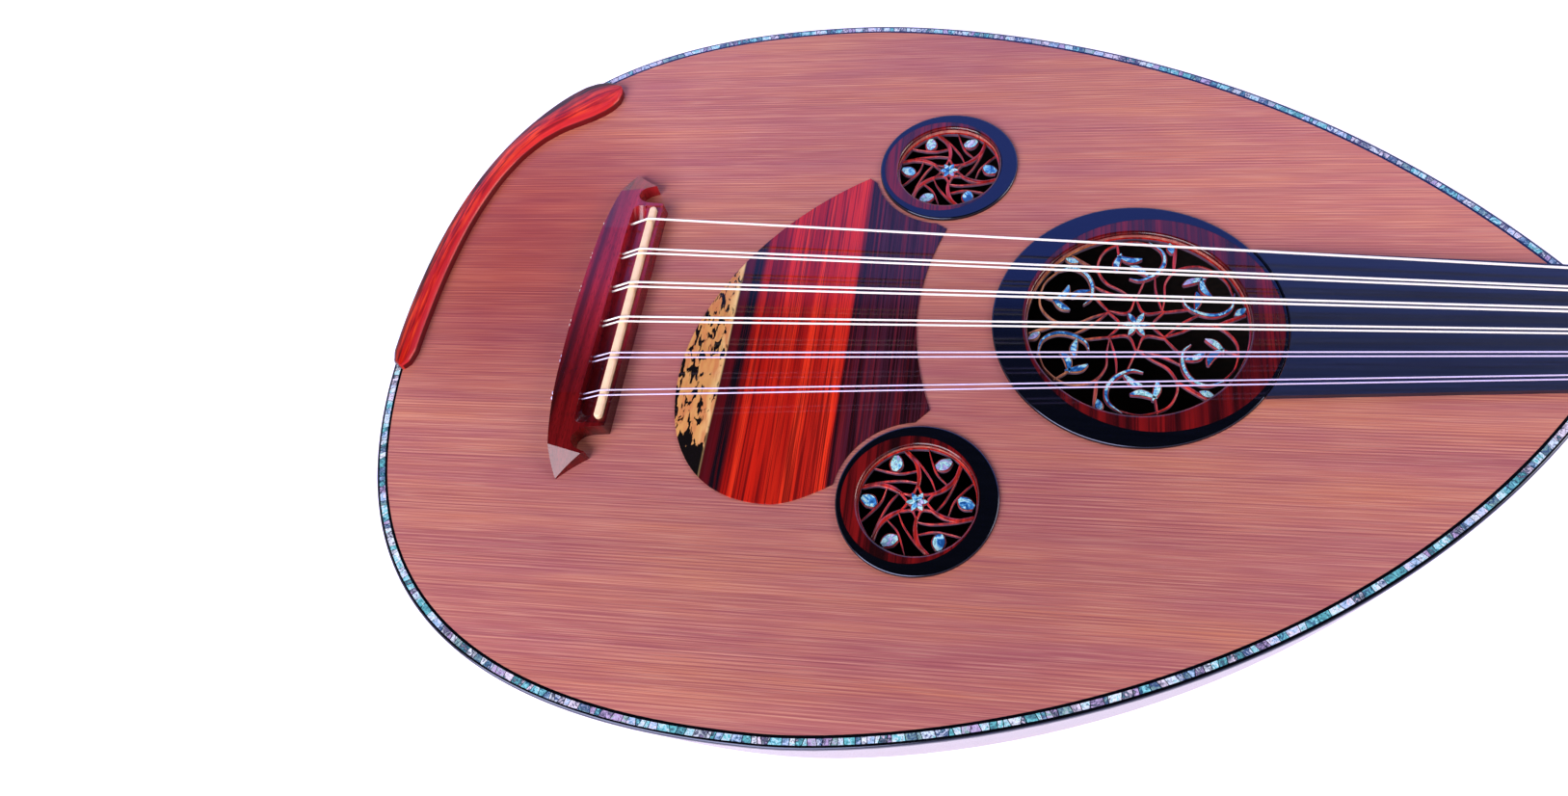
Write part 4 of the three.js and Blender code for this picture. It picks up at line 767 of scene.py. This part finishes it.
# One lobe of each rosette: a stroke's kind, its width, and its path as shares of the opening and degrees
MAIN_STROKES = [
    ("vine", 1.0, [(0.27, 0), (0.4, 19), (0.55, 30), (0.74, 28), (0.9, 17), (0.955, 2), (0.93, -11)]),
    ("leaf", 2.0, [(0.955, -8), (0.87, -17), (0.74, -21), (0.6, -18), (0.5, -6), (0.52, 6)]),
    ("leaf", 3.0, [(0.56, -12), (0.63, -3), (0.66, 4)]),
    ("vine", 1.0, [(0.96, 10), (0.78, 11)]),
    ("leaf", 3.0, [(0.8, 12), (0.73, 3), (0.75, -5)]),
    ("leaf", 3.0, [(0.82, 9), (0.71, 14), (0.62, 16)]),
    ("leaf", 3.3, [(0.99, -19), (0.88, -23)]),
    ("vine", 1.6, [(0.98, 37), (0.83, 34), (0.68, 29)]),
    ("vine", 0.9, [(0.28, 2), (0.42, 34), (0.58, 42)]),
    ("vine", 0.9, [(0.28, 0), (0.41, -7), (0.52, -10)]),
    ("vine", 1.0, [(0.3, 0), (0.15, 30), (0.3, 60)]),
    ("leaf", 2.6, [(0, 30), (0.14, 30)]),
]
SIDE_STROKES = [
    ("thin", 2.2, [(0.25, 0), (0.5, -2), (0.76, 4), (0.98, 14)]),
    ("thin", 0.9, [(0.36, 3), (0.47, 33), (0.72, 59), (0.97, 71)]),
    ("thin", 0.9, [(0.58, 3), (0.6, 28), (0.76, 42), (0.98, 50)]),
    ("drop", 4.6, [(0.7, 35), (0.8, 28), (0.94, 24)]),
    ("thin", 1.1, [(0.34, 0), (0.17, 30), (0.34, 60)]),
    ("leaf", 2.6, [(0, 30), (0.18, 30)]),
]
MAIN_TURN, SIDE_TURN = 30, 33  # degrees from the neck to the first lobe


def make_ring(name, outer, inner, edges, count, look, node):
    """A flat ring whose hole may lie off its centre, rounded outside or inside."""
    (ox, oy, outer_radius), (ix, iy, inner_radius) = outer, inner
    outer_edge, inner_edge = edges
    quarter = spaced(0, math.pi / 2, EDGE_STEPS)

    def rounding(edge):
        return [(edge * (1 - math.sin(a)), RING_HIGH - edge * (1 - math.cos(a))) for a in quarter]

    outside = [(outer_radius, RING_HIGH)]
    if outer_edge:
        outside = [(outer_radius - deep, z) for deep, z in reversed(rounding(outer_edge))]
        outside.append((outer_radius - outer_edge - RING_FLAT, RING_HIGH))
    inside = [(inner_radius, RING_HIGH)]
    if inner_edge:
        inside = [(inner_radius + inner_edge + RING_FLAT, RING_HIGH)]
        inside += [(inner_radius + deep, z) for deep, z in rounding(inner_edge)]
    outside.insert(0, (outer_radius, 0))
    inside.append((inner_radius, 0))
    rings = []
    for a in turns_of(count):
        c, s = math.cos(a), math.sin(a)
        ring = [(ox + r * c, oy + r * s, z) for r, z in outside]
        rings.append(ring + [(ix + r * c, iy + r * s, z) for r, z in inside])
    piece(name, *skin(rings, closed=True), *look, [node], angle=40)


def make_rings():
    black, red = ("ring_black", "ebony"), ("cocobolo", "cocobolo")
    for name, x, y, radius, seam, opening, shift, n in HOLES:
        hole = (x + shift, y, seam - RING_SEAM + RING_JOINT)
        make_ring(f"{name}_black", (x, y, radius), hole, (BLACK_EDGE, 0), n, black, f"{name}_ring")
        band = (x + shift, y, seam - RING_SEAM - RING_JOINT)
        make_ring(f"{name}_red", band, (x, y, opening), (0, RED_EDGE), n, red, f"{name}_ring_inlay")


def spline(points, steps):
    """Points along a smooth curve through the given ones."""
    before = tuple(2 * a - b for a, b in zip(points[0], points[1]))
    after = tuple(2 * a - b for a, b in zip(points[-1], points[-2]))
    line = [before, *points, after]
    spans = len(points) - 1
    out = []
    for i in range(steps + 1):
        t = i / steps * spans
        k = min(int(t), spans - 1)
        u = t - k
        place = []
        for a, b, c, d in zip(*line[k : k + 4]):
            rise, bend, twist = c - a, 2 * a - 5 * b + 4 * c - d, 3 * b - a - 3 * c + d
            place.append(0.5 * (2 * b + rise * u + bend * u * u + twist * u**3))
        out.append(tuple(place))
    return out


def ribbon(points, width, ends, steps):
    """The outline of a stroke that tapers to a share of its width at both ends."""
    line = spline(points, steps)
    left, right = [], []
    for i, (x, y) in enumerate(line):
        ax, ay = line[max(0, i - 1)]
        bx, by = line[min(steps, i + 1)]
        size = math.dist((ax, ay), (bx, by)) or 1
        nx, ny = -(by - ay) / size, (bx - ax) / size
        half = width / 2 * (ends + (1 - ends) * math.sin(math.pi * i / steps))
        left.append((x + nx * half, y + ny * half))
        right.append((x - nx * half, y - ny * half))
    return left + right[::-1]


def make_rosettes():
    for name, x, y, _, _, opening, _, n in HOLES:
        wood, pearl, dark = [], [], []
        strokes, turn = (MAIN_STROKES, MAIN_TURN) if name == "main" else (SIDE_STROKES, SIDE_TURN)
        for lobe in range(LOBES):
            for kind, width, path in strokes:
                factor, ends, each = KINDS[kind]
                wide, steps = width * factor, each * len(path)
                points = []
                for share, degrees in path:
                    a = math.radians(degrees + lobe * 360 / LOBES + turn)
                    points.append((x + share * opening * math.cos(a), y + share * opening * math.sin(a)))
                wood.append(prism(ribbon(points, wide, ends, steps), FRET_LOW, FRET_HIGH, FRET_EDGE))
                if kind in SHELL_KINDS:
                    seam = ribbon(points, wide - SEAM_WIDE, ends - SEAM_TAPER, steps)
                    dark.append(prism(seam, PEARL_LOW, SEAM_HIGH))
                    shell = ribbon(points, wide - PEARL_WIDE, ends - PEARL_TAPER, steps)
                    pearl.append(prism(shell, PEARL_LOW, PEARL_HIGH))
        wood.append(skin([circle(x, y, opening + out, n, z) for out, z in RIM_SECTION], closed=True))
        shell_look = "shell_main" if name == "main" else "shell_side"
        piece(f"{name}_fretwork", *join_parts(wood), "vine", "cocobolo", [f"{name}_rosette"], angle=50)
        piece(f"{name}_pearl", *join_parts(pearl), shell_look, "shell")
        piece(f"{name}_pearl_seam", *join_parts(dark), "ebony", "ebony")


# Neck and fingerboard
NUT_X = 374.5
BEND = math.radians(50)  # of the pegbox
PEG0 = 380.0  # where the pegbox starts
NECK_DEEP = 22  # at the nut
WIDE_AT, WIDE_HALF, NUT_HALF = 47, 36.8, 18.2  # the fingerboard's half widths
BOARD_ARC, BOARD_CORNER = 61.8, 49.6  # its round end: the radius, and where its corners lie
BOARD_HIGH = 2.5
ROUND_STEPS, ARC_STEPS = 40, 60


def neck_half(x):
    return WIDE_HALF + (NUT_HALF - WIDE_HALF) * (x - WIDE_AT) / (NUT_X - WIDE_AT)


def make_neck():
    slant = math.tan(BEND)
    joint_deep = JOINT_HALF * DEPTH
    middle = ((JOINT_X + NUT_X) / 2, (joint_deep + NECK_DEEP) / 2, 0)
    heel = (NUT_X - NECK_DEEP * slant, NECK_DEEP, 0)
    rows = [(JOINT_X, joint_deep, 0), middle, heel, (PEG0, NECK_DEEP, slant)]
    rings = []
    for x, deep, lean in rows:
        half = neck_half(min(x, NUT_X))
        ring = []
        for a in spaced(0, math.pi, ROUND_STEPS):
            z = -deep * math.sin(a)
            ring.append((x + lean * z, half * math.cos(a), z))
        rings.append(ring)
    piece("neck_wood", *skin(rings), "ebony", "ebony", ["neck"], angle=50)


def make_fingerboard():
    end = NUT_X - SEAT
    start = math.degrees(math.atan2(neck_half(BOARD_CORNER), BOARD_CORNER))
    outline = arc(0, 0, BOARD_ARC, spaced(-start, start, ARC_STEPS))
    outline += [(end, neck_half(end)), (end, -neck_half(end))]
    plate = prism(outline, 0, BOARD_HIGH)
    piece("fingerboard_wood", *plate, "satin_black", "ebony", ["fingerboard"], angle=30)


# Bridge and saddle
BACK_X, FRONT_X, BRIDGE_Y, BRIDGE_HALF, BRIDGE_HIGH = -251.9, -223.0, -2.0, 84.0, 8.6
BRIDGE_DEEP = BACK_X - FRONT_X
# corners and handles of the outline's half, as shares of its half length and of its depth from the front
BRIDGE_ROWS = {
    "back pull": (0.54, 1), "tip pull": (0.87, 0.87), "tip": (1, 0.66), "brow": (0.935, 0.48),
    "hook": (0.876, 0.22), "hook pull": (0.862, 0.36), "notch in": (0.843, 0.49), "notch": (0.795, 0.47),
    "notch out": (0.753, 0.44), "corner pull": (0.738, 0.31), "corner in": (0.737, 0.18), "corner": (0.731, 0),
}
BACK_CURVE, HOOK_CURVE = 24, 10  # steps of the outline's curves
ABOVE = 12  # a height over the whole bridge, where the cutting tools end
TOOL_BACK, TOOL_FRONT, TOOL_END = -256, -218, 88  # past the bridge's sides
GROOVE_X, GROOVE_HALF = -234.05, 3.45
# the groove's half length at two heights, so that its ends slope
GROOVE_ROWS = [(54.5, 3.2), (66.0, ABOVE)]
SHELF_X, SHELF_Z, SHELF_HALF = -231.6, 6.9, 60  # the lower part in front of the groove
SADDLE_X, SADDLE_Y, SADDLE_HALF, SADDLE_WIDE = -227, -1.6, 58.2, 1.7
SLOT_LOW = 5.5
# the saddle's rounded top: height, and distance in from its sides
SADDLE_LEVELS = [(5.55, 0), (8.4, 0), (8.75, 0.15), (9.0, 0.5), (9.1, 0.95)]
SADDLE_HIGH = 9.1
# the top falls gently from here to the tips, this much per mm
FALL_START, FALL = 46.0, 0.065
FACET_RUN = 3  # how far the cutting tool runs past the facet's start
EDGE_WIDE, EDGE_ANGLE = 0.8, 36  # the chamfer, and the least angle of an edge that gets one
FLAT_UP = 0.7  # faces whose normal rises more than this are shaded flat
# each tip's side, where its steeper facet starts at the back and the front, and the height at its end
TIP_FACETS = [(1, 69.5, 73.0, 2.6), (-1, 69.0, 77.0, 1.2)]


def bridge_half(side):
    """Half of the outline, from the middle of the back round the hooked tip to the front."""
    def p(name):
        along, deep = BRIDGE_ROWS[name]
        return (FRONT_X + BRIDGE_DEEP * deep, BRIDGE_Y + side * BRIDGE_HALF * along)

    return (
        bezier([(BACK_X, BRIDGE_Y), p("back pull"), p("tip pull"), p("tip")], BACK_CURVE)
        + quad(p("tip"), p("brow"), p("hook"), spaced(0, 1, HOOK_CURVE)[:-1])
        + bezier([p("hook"), p("hook pull"), p("notch in"), p("notch")], HOOK_CURVE)
        + bezier([p("notch"), p("notch out"), p("corner pull"), p("corner in")], HOOK_CURVE)
        + [p("corner in"), p("corner")]
    )


def bridge_outline():
    return bridge_half(1) + bridge_half(-1)[:0:-1]


def wedge(block, side, starts, low, slope):
    """Cuts off what lies over a plane that falls from the start lines to the tip."""
    rings = []
    for x, start in zip((TOOL_BACK, TOOL_FRONT), starts):
        rows = [(start, low), (start, ABOVE), (TOOL_END, ABOVE), (TOOL_END, low - slope * (TOOL_END - start))]
        rings.append([(x, BRIDGE_Y + side * along, z) for along, z in rows])
    return cut(block, *skin(rings))


def make_bridge():
    plan = prism(bridge_outline(), 0, BRIDGE_HIGH)
    block = piece("bridge_block", *plan, "bridge_wood", "cocobolo", ["bridge"])
    groove = [[(x, y, z) for x, y in bar(GROOVE_X, BRIDGE_Y, reach, GROOVE_HALF)] for reach, z in GROOVE_ROWS]
    shelf = box_points((SHELF_X, BRIDGE_Y - SHELF_HALF, SHELF_Z), (TOOL_FRONT, BRIDGE_Y + SHELF_HALF, ABOVE))
    slot = prism(bar(SADDLE_X, SADDLE_Y, SADDLE_HALF + SEAT, SADDLE_WIDE + SEAT), SLOT_LOW, ABOVE)
    tools = [cut(block, *skin(groove)), cut(block, *shelf), cut(block, *slot)]
    for side, back, front, end in TIP_FACETS:
        tools.append(wedge(block, side, (FALL_START, FALL_START), BRIDGE_HIGH, FALL))
        middle = (back + front) / 2
        ridge = BRIDGE_HIGH - FALL * (middle - FALL_START)
        slope = (ridge - end) / (BRIDGE_HALF - middle)
        starts = (back - FACET_RUN, front - FACET_RUN)
        tools.append(wedge(block, side, starts, ridge + FACET_RUN * slope, slope))
    bevel = block.modifiers.new("edges", "BEVEL")
    bevel.width = EDGE_WIDE * MM
    bevel.segments = 1
    bevel.limit_method = "ANGLE"
    bevel.angle_limit = math.radians(EDGE_ANGLE)
    mesh = bake(block, tools)
    finish_mesh(mesh, "bridge_wood", 30)
    for face in mesh.polygons:
        if face.normal.z > FLAT_UP:
            face.use_smooth = False


def make_saddle():
    bone = stack(bar(SADDLE_X, SADDLE_Y, SADDLE_HALF, SADDLE_WIDE), SADDLE_LEVELS)
    piece("saddle_bone", *bone, "bone", "bone", ["saddle"], angle=60)


# Pickguard: three corners, the handles of its round side, the gap round the side holes' rings
GUARD_TOP, GUARD_LEFT, GUARD_LOW = (-124.1, 80.4), (-197.9, -31.7), (-147.9, -93)
TOP_PULL = (-174.2, 51.2)
LEFT_PULL, LEFT_LOW_PULL, LOW_PULL, LOW_END_PULL = 33.5, 36, 33, 10
GUARD_GAP = 2.2
GUARD_RADIUS = SIDE_RADIUS + GUARD_GAP
GUARD_TIP_X, GUARD_TIPS, GUARD_HOLLOW = -84.8, (-46.8, 49.5), -19
GUARD_HIGH = 0.7
LOW_ARC, HIGH_ARC = range(172, 94, -4), range(265, 195, -4)  # degrees round the two side holes
GUARD_STEPS, LOW_STEPS, HOLLOW_STEPS = 30, 8, 24


def guard_outline():
    (lx, ly), (bx, by) = GUARD_LEFT, GUARD_LOW
    side = bezier([GUARD_TOP, TOP_PULL, (lx, ly + LEFT_PULL), GUARD_LEFT], GUARD_STEPS)
    side += bezier([GUARD_LEFT, (lx, ly - LEFT_LOW_PULL), (bx - LOW_PULL, by), GUARD_LOW], GUARD_STEPS)
    low_arc = arc(SIDE_X, -SIDE_Y, GUARD_RADIUS, LOW_ARC)
    end_x, end_y = low_arc[0]
    shares = spaced(0, 1, LOW_STEPS)[:-1]
    side += quad(GUARD_LOW, (bx + LOW_END_PULL, by), (end_x - SEAT, end_y), shares)
    low, high = GUARD_TIPS
    pull = (GUARD_TIP_X + GUARD_HOLLOW, (low + high) / 2)
    hollow = quad((GUARD_TIP_X, low), pull, (GUARD_TIP_X, high), spaced(0, 1, HOLLOW_STEPS))
    return side + low_arc + hollow + arc(SIDE_X, SIDE_Y, GUARD_RADIUS, HIGH_ARC)


def make_guard():
    piece("guard_plate", *prism(guard_outline(), 0, GUARD_HIGH), "guard", "cocobolo", ["pickguard"], angle=30)


# Armrest: its two edges along the rim, as a share of its length and two shares of its width
ARM_ROWS = [
    (0, 0.2, 0.28), (0.012, 0.06, 0.4), (0.04, 0, 0.47), (0.15, 0, 0.49), (0.3, 0, 0.49), (0.45, 0, 0.48),
    (0.57, 0, 0.48), (0.66, 0, 0.52), (0.73, 0, 0.6), (0.79, 0, 0.74), (0.84, 0, 0.9), (0.88, 0.01, 1),
    (0.92, 0.04, 1.04), (0.95, 0.12, 1.02), (0.975, 0.24, 0.94), (0.992, 0.4, 0.8), (1, 0.55, 0.66),
]
ARM_START, ARM_END, ARM_WIDE = -34.0, 176.0, 23.5
ARM_STEPS = 90
ARM_FIGURE = 20  # length of a unit of the wood's figure
ARM_CROWN = 2.2  # width of the rounded sides, and their height over the board
CROWN_MOST = 1 / 3  # share of the rest's width that one rounded side takes at most
SHADED_WALL_MARK = 1.05  # the upright inner side's number is past 1, where the material paints shade on it
TINY = 0.01
# the rounded side: share of the crown in from the edge, and height
ARM_SIDE = [(0, 0), (0, ARM_CROWN), (0.15, 3.0), (0.5, 3.8), (1, 4.2)]


def arm_edges(share):
    """The outer and the inner edge at a share of the length, in from the rim."""
    k = max(j for j in range(len(ARM_ROWS) - 1) if ARM_ROWS[j][0] <= share + 1e-9)
    before, after = ARM_ROWS[k], ARM_ROWS[k + 1]
    u = (share - before[0]) / (after[0] - before[0])
    return [(before[i] + (after[i] - before[i]) * u) * ARM_WIDE for i in (1, 2)]


def make_armrest():
    rings, marks, runs = [], [], []
    for turn in spaced(0, math.pi, ARM_STEPS):
        share = 0.5 - 0.5 * math.cos(turn)
        outer, inner = arm_edges(share)
        crown = min(ARM_CROWN, (inner - outer) * CROWN_MOST)
        section = [(outer + crown * part, z) for part, z in ARM_SIDE]
        section += [(inner - crown * part, z) for part, z in reversed(ARM_SIDE)]
        along = ARM_START + share * (ARM_END - ARM_START)
        ring = []
        for deep, z in section:
            x, y = rim(along, deep)
            ring.append((x, y, z))
            # the upright inner side is marked for painted shade
            wall = z <= ARM_CROWN and deep > inner - TINY
            marks.append((deep - outer) / max(inner - outer, TINY) * (SHADED_WALL_MARK if wall else 1.0))
            runs.append(along / ARM_FIGURE)
        rings.append(ring)
    thing = piece("armrest_wood", *skin(rings), "arm", "padauk", ["armrest"], angle=60)
    add_layer(thing, "across", marks)
    add_layer(thing, "along", runs)


# Pegbox and pegs: places along the pegbox, across it and out of its open side
PEGBOX_DEEP, TIP_DEEP = 36, 22
INNER_HALF, TIP_INNER = 14.2, 9
TIP_SPAN = 18  # of the pegbox's end, which stays over the floor
PEG_LENGTH = (-FLOOR_Z - math.cos(BEND) * TIP_SPAN) / math.sin(BEND)
FIRST_PEG, LAST_GAP = 22, 38  # from the pegbox's start and end to the nearest pegs
PEGS = 11
PEG_DEPTH = 0.42  # share of the pegbox's depth at which the pegs lie
SHAFT_RADIUS, SHAFT_TAPER = 4.1, 0.03
CHEEK_WIDE, COLLAR_GAP = 5, 5
PEG_SIDES = 28
# the peg's small end: distance from its end, and share of the shaft's radius
PEG_TIP = [(2, 0.4), (1.8, 0.75), (1.2, 1.0)]
HEAD_LONG, HEAD_HALF, HEAD_THICK = 25, 9, 4
# the head: share of its length from the collar, and shares of its half width and half thickness
HEAD_ROWS = [
    (0.01, 0.62, 1.2), (0.03, 0.7, 1.32), (0.08, 0.7, 1.32), (0.1, 0.64, 1.2), (0.15, 0.47, 0.9),
    (0.22, 0.5, 0.85), (0.34, 0.8, 0.9), (0.46, 0.98, 0.94), (0.56, 1.0, 0.92), (0.68, 0.93, 0.86),
    (0.78, 0.74, 0.76), (0.86, 0.5, 0.64), (0.905, 0.38, 0.6), (0.95, 0.38, 0.6), (0.985, 0.28, 0.45),
    (1.0, 0.12, 0.2),
]


def peg_point(along, across, out):
    c, s = math.cos(BEND), math.sin(BEND)
    return (PEG0 + along * c + out * s, across, -along * s + out * c)


def pegbox_size(start, end, along):
    return start + (end - start) * along / PEG_LENGTH


def peg_seats():
    """Each peg's number, its place along and out of the pegbox, its head's side and its centre."""
    spacing = (PEG_LENGTH - FIRST_PEG - LAST_GAP) / (PEGS - 1)
    for i in range(PEGS):
        along = FIRST_PEG + i * spacing
        out = -PEG_DEPTH * pegbox_size(PEGBOX_DEEP, TIP_DEEP, along)
        head = -1 if i % 2 == 0 else 1
        owner = PEGS - 1 - i // 2 if head < 0 else (i - 1) // 2
        yield owner, along, out, head, peg_point(along, 0, out)


SEATS = list(peg_seats())


def peg_radius(towards):
    """Radius of the shaft at a distance from the middle plane, positive towards the head."""
    return SHAFT_RADIUS + SHAFT_TAPER * towards


def make_pegs():
    turns = turns_of(PEG_SIDES)
    for owner, along, _, head, (cx, _, cz) in SEATS:
        half = pegbox_size(INNER_HALF, TIP_INNER, along) + CHEEK_WIDE
        collar = half + COLLAR_GAP
        rows = [(-half - past, share) for past, share in PEG_TIP] + [(collar, 1)]
        sections = [(place, peg_radius(place) * share, peg_radius(place) * share) for place, share in rows]
        sections += [(collar + p * HEAD_LONG, w * HEAD_HALF, t * HEAD_THICK) for p, w, t in HEAD_ROWS]
        rings = []
        for towards, wide, thick in sections:
            rings.append([(cx + thick * math.cos(a), head * towards, cz + wide * math.sin(a)) for a in turns])
        name = f"peg_{owner + 1:02d}"
        piece(name + "_turned", *skin(rings), "ebony", "ebony", [name], body=name + "_body", angle=40)


# Strings
RADII = [0.55, 0.5, 0.5, 0.5, 0.5, 0.45, 0.45, 0.36, 0.36, 0.33, 0.33]
ARRIVAL = [-0.9, 0.95, -0.78, 0.82, -0.66, 0.7, -0.56, 0.42, -0.34, 0.17, -0.16]  # across its peg, in steps
ARRIVAL_STEP = 9
WOUND = 7  # so many strings are wound with metal
COURSES = 5  # pairs beside the single string
BRIDGE_SPAN, BRIDGE_OFFSET, BRIDGE_PAIR = 96.3, -0.1, 2.55
NUT_SPAN, NUT_OFFSET, NUT_PAIR = 28.2, -0.4, 1.5
STRING_LONG = 601.5  # from saddle to nut
STRING_LIFT = 0.26  # over the saddle
KNOT_Z, KNOT_NEAR = 5.6, 1
# the knot behind the bridge: distance from its back edge, and radius
KNOT = [(1.4, 0.3), (1.25, 0.75), (0.95, 1.0), (0.5, 1.0), (0.2, 0.8)]
TIE_X = -237.2  # where a string leaves its hole for the saddle
CREST = 0.85  # from the saddle's middle to each end of the string's contact
NUT_REST, NUT_HIGH = 2.5, 3.2  # where a string meets the nut, and the height under it
NUT_OVER = 5.3  # where it leaves the nut for its peg
TURNS, TURN_STEPS = 2, 28
WINDING_GAP = 0.45
STRING_SIDES = 12


def string_y(index, span, offset, pair):
    """Each course's place, and half a pair's width to either side for its two strings."""
    course = math.ceil(index / 2)
    middle = span / 2 - span * course / COURSES + offset
    if course == 0:
        return middle
    return middle + (pair / 2 if index % 2 else -pair / 2)


def tube(points, radii):
    turns = turns_of(STRING_SIDES)
    rings = []
    normal = Vector((0, 1, 0))
    for i, p in enumerate(points):
        a, b = points[max(0, i - 1)], points[min(len(points) - 1, i + 1)]
        tangent = (b - a).normalized()
        normal = (normal - tangent * normal.dot(tangent)).normalized()
        side = tangent.cross(normal)
        rings.append([tuple(p + (normal * math.cos(t) + side * math.sin(t)) * radii[i]) for t in turns])
    return skin(rings)


def back_edge(y):
    """How far back the bridge reaches near y."""
    outline = bridge_outline()
    best = FRONT_X
    for (ax, ay), (bx, by) in zip(outline, outline[1:] + outline[:1]):
        for place in (y - KNOT_NEAR, y, y + KNOT_NEAR):
            if ay != by and 0 <= (place - ay) / (by - ay) <= 1:
                best = min(best, ax + (bx - ax) * (place - ay) / (by - ay))
    return best


def winding(seat, radius, arrival, entry):
    """Points of the turns on a peg, from where the string meets it."""
    _, along, out, head, _ = seat
    entry_along, entry_out = entry
    outward = 1 if arrival > 0 else -1
    pitch = 2 * radius + WINDING_GAP

    def reach(across):
        return peg_radius(head * across) + SEAT + radius

    gap, rise = along - entry_along, entry_out - out
    start = math.atan2(rise, -gap) - math.acos(reach(arrival) / math.hypot(gap, rise))
    for i in range(TURNS * TURN_STEPS + 1):
        angle = start - 2 * math.pi * i / TURN_STEPS
        across = arrival + outward * pitch * i / TURN_STEPS
        size = reach(across)
        yield peg_point(along + size * math.cos(angle), across, out + size * math.sin(angle))


def make_strings():
    c, s = math.cos(BEND), math.sin(BEND)
    for seat, share in zip(SEATS, ARRIVAL):
        owner = seat[0]
        r = RADII[owner]
        y = string_y(owner, BRIDGE_SPAN, BRIDGE_OFFSET, BRIDGE_PAIR)
        nut_y = string_y(owner, NUT_SPAN, NUT_OFFSET, NUT_PAIR)
        saddle_z, nut_z = SADDLE_HIGH + STRING_LIFT + r, NUT_HIGH + r
        slope = (saddle_z - nut_z) / STRING_LONG
        back = back_edge(y) - SEAT
        points = [(back - past, y, KNOT_Z) for past, _ in KNOT] + [(back, y, KNOT_Z), (TIE_X, y, KNOT_Z)]
        points += [(SADDLE_X - CREST, y, saddle_z - r / 4), (SADDLE_X + CREST, y, saddle_z - CREST * slope)]
        points += [(NUT_X + NUT_REST, nut_y, nut_z), (NUT_X + NUT_OVER, nut_y, nut_z)]
        dx, dz = NUT_X + NUT_OVER - PEG0, nut_z
        points += winding(seat, r, share * ARRIVAL_STEP, (dx * c - dz * s, dx * s + dz * c))
        radii = [size for _, size in KNOT] + [r] * (len(points) - len(KNOT))
        name = f"string_{owner + 1:02d}"
        look = ("wound", "wound_string") if owner < WOUND else ("nylon", "nylon_string")
        piece(name + "_wire", *tube([Vector(p) for p in points], radii), *look, [name], angle=50)


def dress_cad():
    """Materials for the CAD nodes that are shown as they are."""
    look = {
        "tail_block": "spruce", "neck_block": "spruce", "nut": "bone",
        "pegbox_bass_cheek": "rib_a", "pegbox_treble_cheek": "rib_a", "pegbox_back": "rib_a",
    }
    for name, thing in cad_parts.items():
        material = M[look.get(name, "ebony")]
        for place in thing.material_slots:
            place.link = "OBJECT"
            place.material = material


# Floor, light and camera, in metres
FLOOR_RADIUS, WALL_HIGH, FLOOR_STEPS = 6.0, 4.5, 48
FLOOR_GAP = 0.0005
FLOOR_LIFT = 0.66  # how brightly the floor itself glows to the camera and in reflections
AIM_Z = 0.18


def floor_paint():
    """Pale floor that also glows to the camera, so that it comes out white."""
    s = Shade("floor_paint", roughness=0.7)
    s.feed(s.bsdf.inputs["Emission Color"], (1, 0.98, 1, 1))
    seen = s.tree.nodes.new("ShaderNodeLightPath").outputs
    rays = s.math("MAXIMUM", seen["Is Camera Ray"], seen["Is Glossy Ray"])
    rays = s.math("MAXIMUM", rays, seen["Is Transmission Ray"])
    s.feed(s.bsdf.inputs["Emission Strength"], s.math("MULTIPLY", rays, FLOOR_LIFT))
    return s.paint((0.8, 0.73, 1.0, 1))


def make_floor():
    """A round floor with a wall about it."""
    n = FLOOR_STEPS
    points = circle(0, 0, FLOOR_RADIUS, n, 0) + circle(0, 0, FLOOR_RADIUS, n, WALL_HIGH)
    wall = [(i, i + n, (i + 1) % n + n, (i + 1) % n) for i in range(n)]
    mesh = bpy.data.meshes.new("floor")
    mesh.from_pydata(points, [], [tuple(range(n))] + wall)
    mesh.materials.append(floor_paint())
    thing = placed("floor", mesh)
    thing.location.z = -FLOOR_GAP


def make_world():
    world = bpy.data.worlds.new("sky")
    bpy.context.scene.world = world
    world.use_nodes = True
    light = world.node_tree.nodes["Background"]
    light.inputs["Color"].default_value = (0.9, 0.93, 1.0, 1)
    light.inputs["Strength"].default_value = 0.03


def lamp(name, place, aim_x, size, power, colour):
    light = bpy.data.lights.new(name, "AREA")
    light.shape = "RECTANGLE"
    light.size, light.size_y = size
    light.energy = power
    light.color = colour
    holder = placed(name, light)
    holder.location = place
    holder.rotation_mode = "QUATERNION"
    aim = Vector((aim_x, 0, AIM_Z))
    holder.rotation_quaternion = (aim - Vector(place)).to_track_quat("-Z", "Y")


def make_camera():
    """The photo's camera, fitted to the board's outline, the rings and the strings in it."""
    data = bpy.data.cameras.new("camera")
    data.sensor_width = 36
    data.lens = 24.02
    data.shift_x = -0.0532
    data.clip_start, data.clip_end = 0.01, 50
    right = Vector((0.98449, 0.11126, -0.13566))
    down = Vector((0.02882, -0.86527, -0.50048))
    ahead = Vector((-0.17307, 0.4888, -0.85505))
    turn = Matrix((right, -down, -ahead)).transposed().to_4x4()
    holder = placed("camera", data)
    holder.matrix_world = Matrix.Translation(at(-34.9, -259.4, 381.0)) @ turn
    bpy.context.scene.camera = holder


# The whole scene; a lamp has its place, where it aims along x, its size, its power in watts and its colour
make_board()
make_binding()
make_shell_strip()
make_ribs()
make_liner()
make_rings()
make_rosettes()
make_neck()
make_fingerboard()
make_bridge()
make_saddle()
make_guard()
make_armrest()
make_pegs()
make_strings()
dress_cad()
make_floor()
make_world()
lamp("key", (-1.2, -1.7, 1.5), -0.05, (2.4, 1.8), 104, (0.95, 0.9, 1.0))
lamp("window", (0.0, 1.6, 1.5), 0.0, (4.2, 1.1), 23, (0.17, 0.28, 1.0))
lamp("side", (2.1, 0.5, 1.4), 0.05, (1.4, 1.2), 36, (1.0, 0.93, 0.84))
make_camera()
bpy.context.scene.view_settings.view_transform = "Standard"
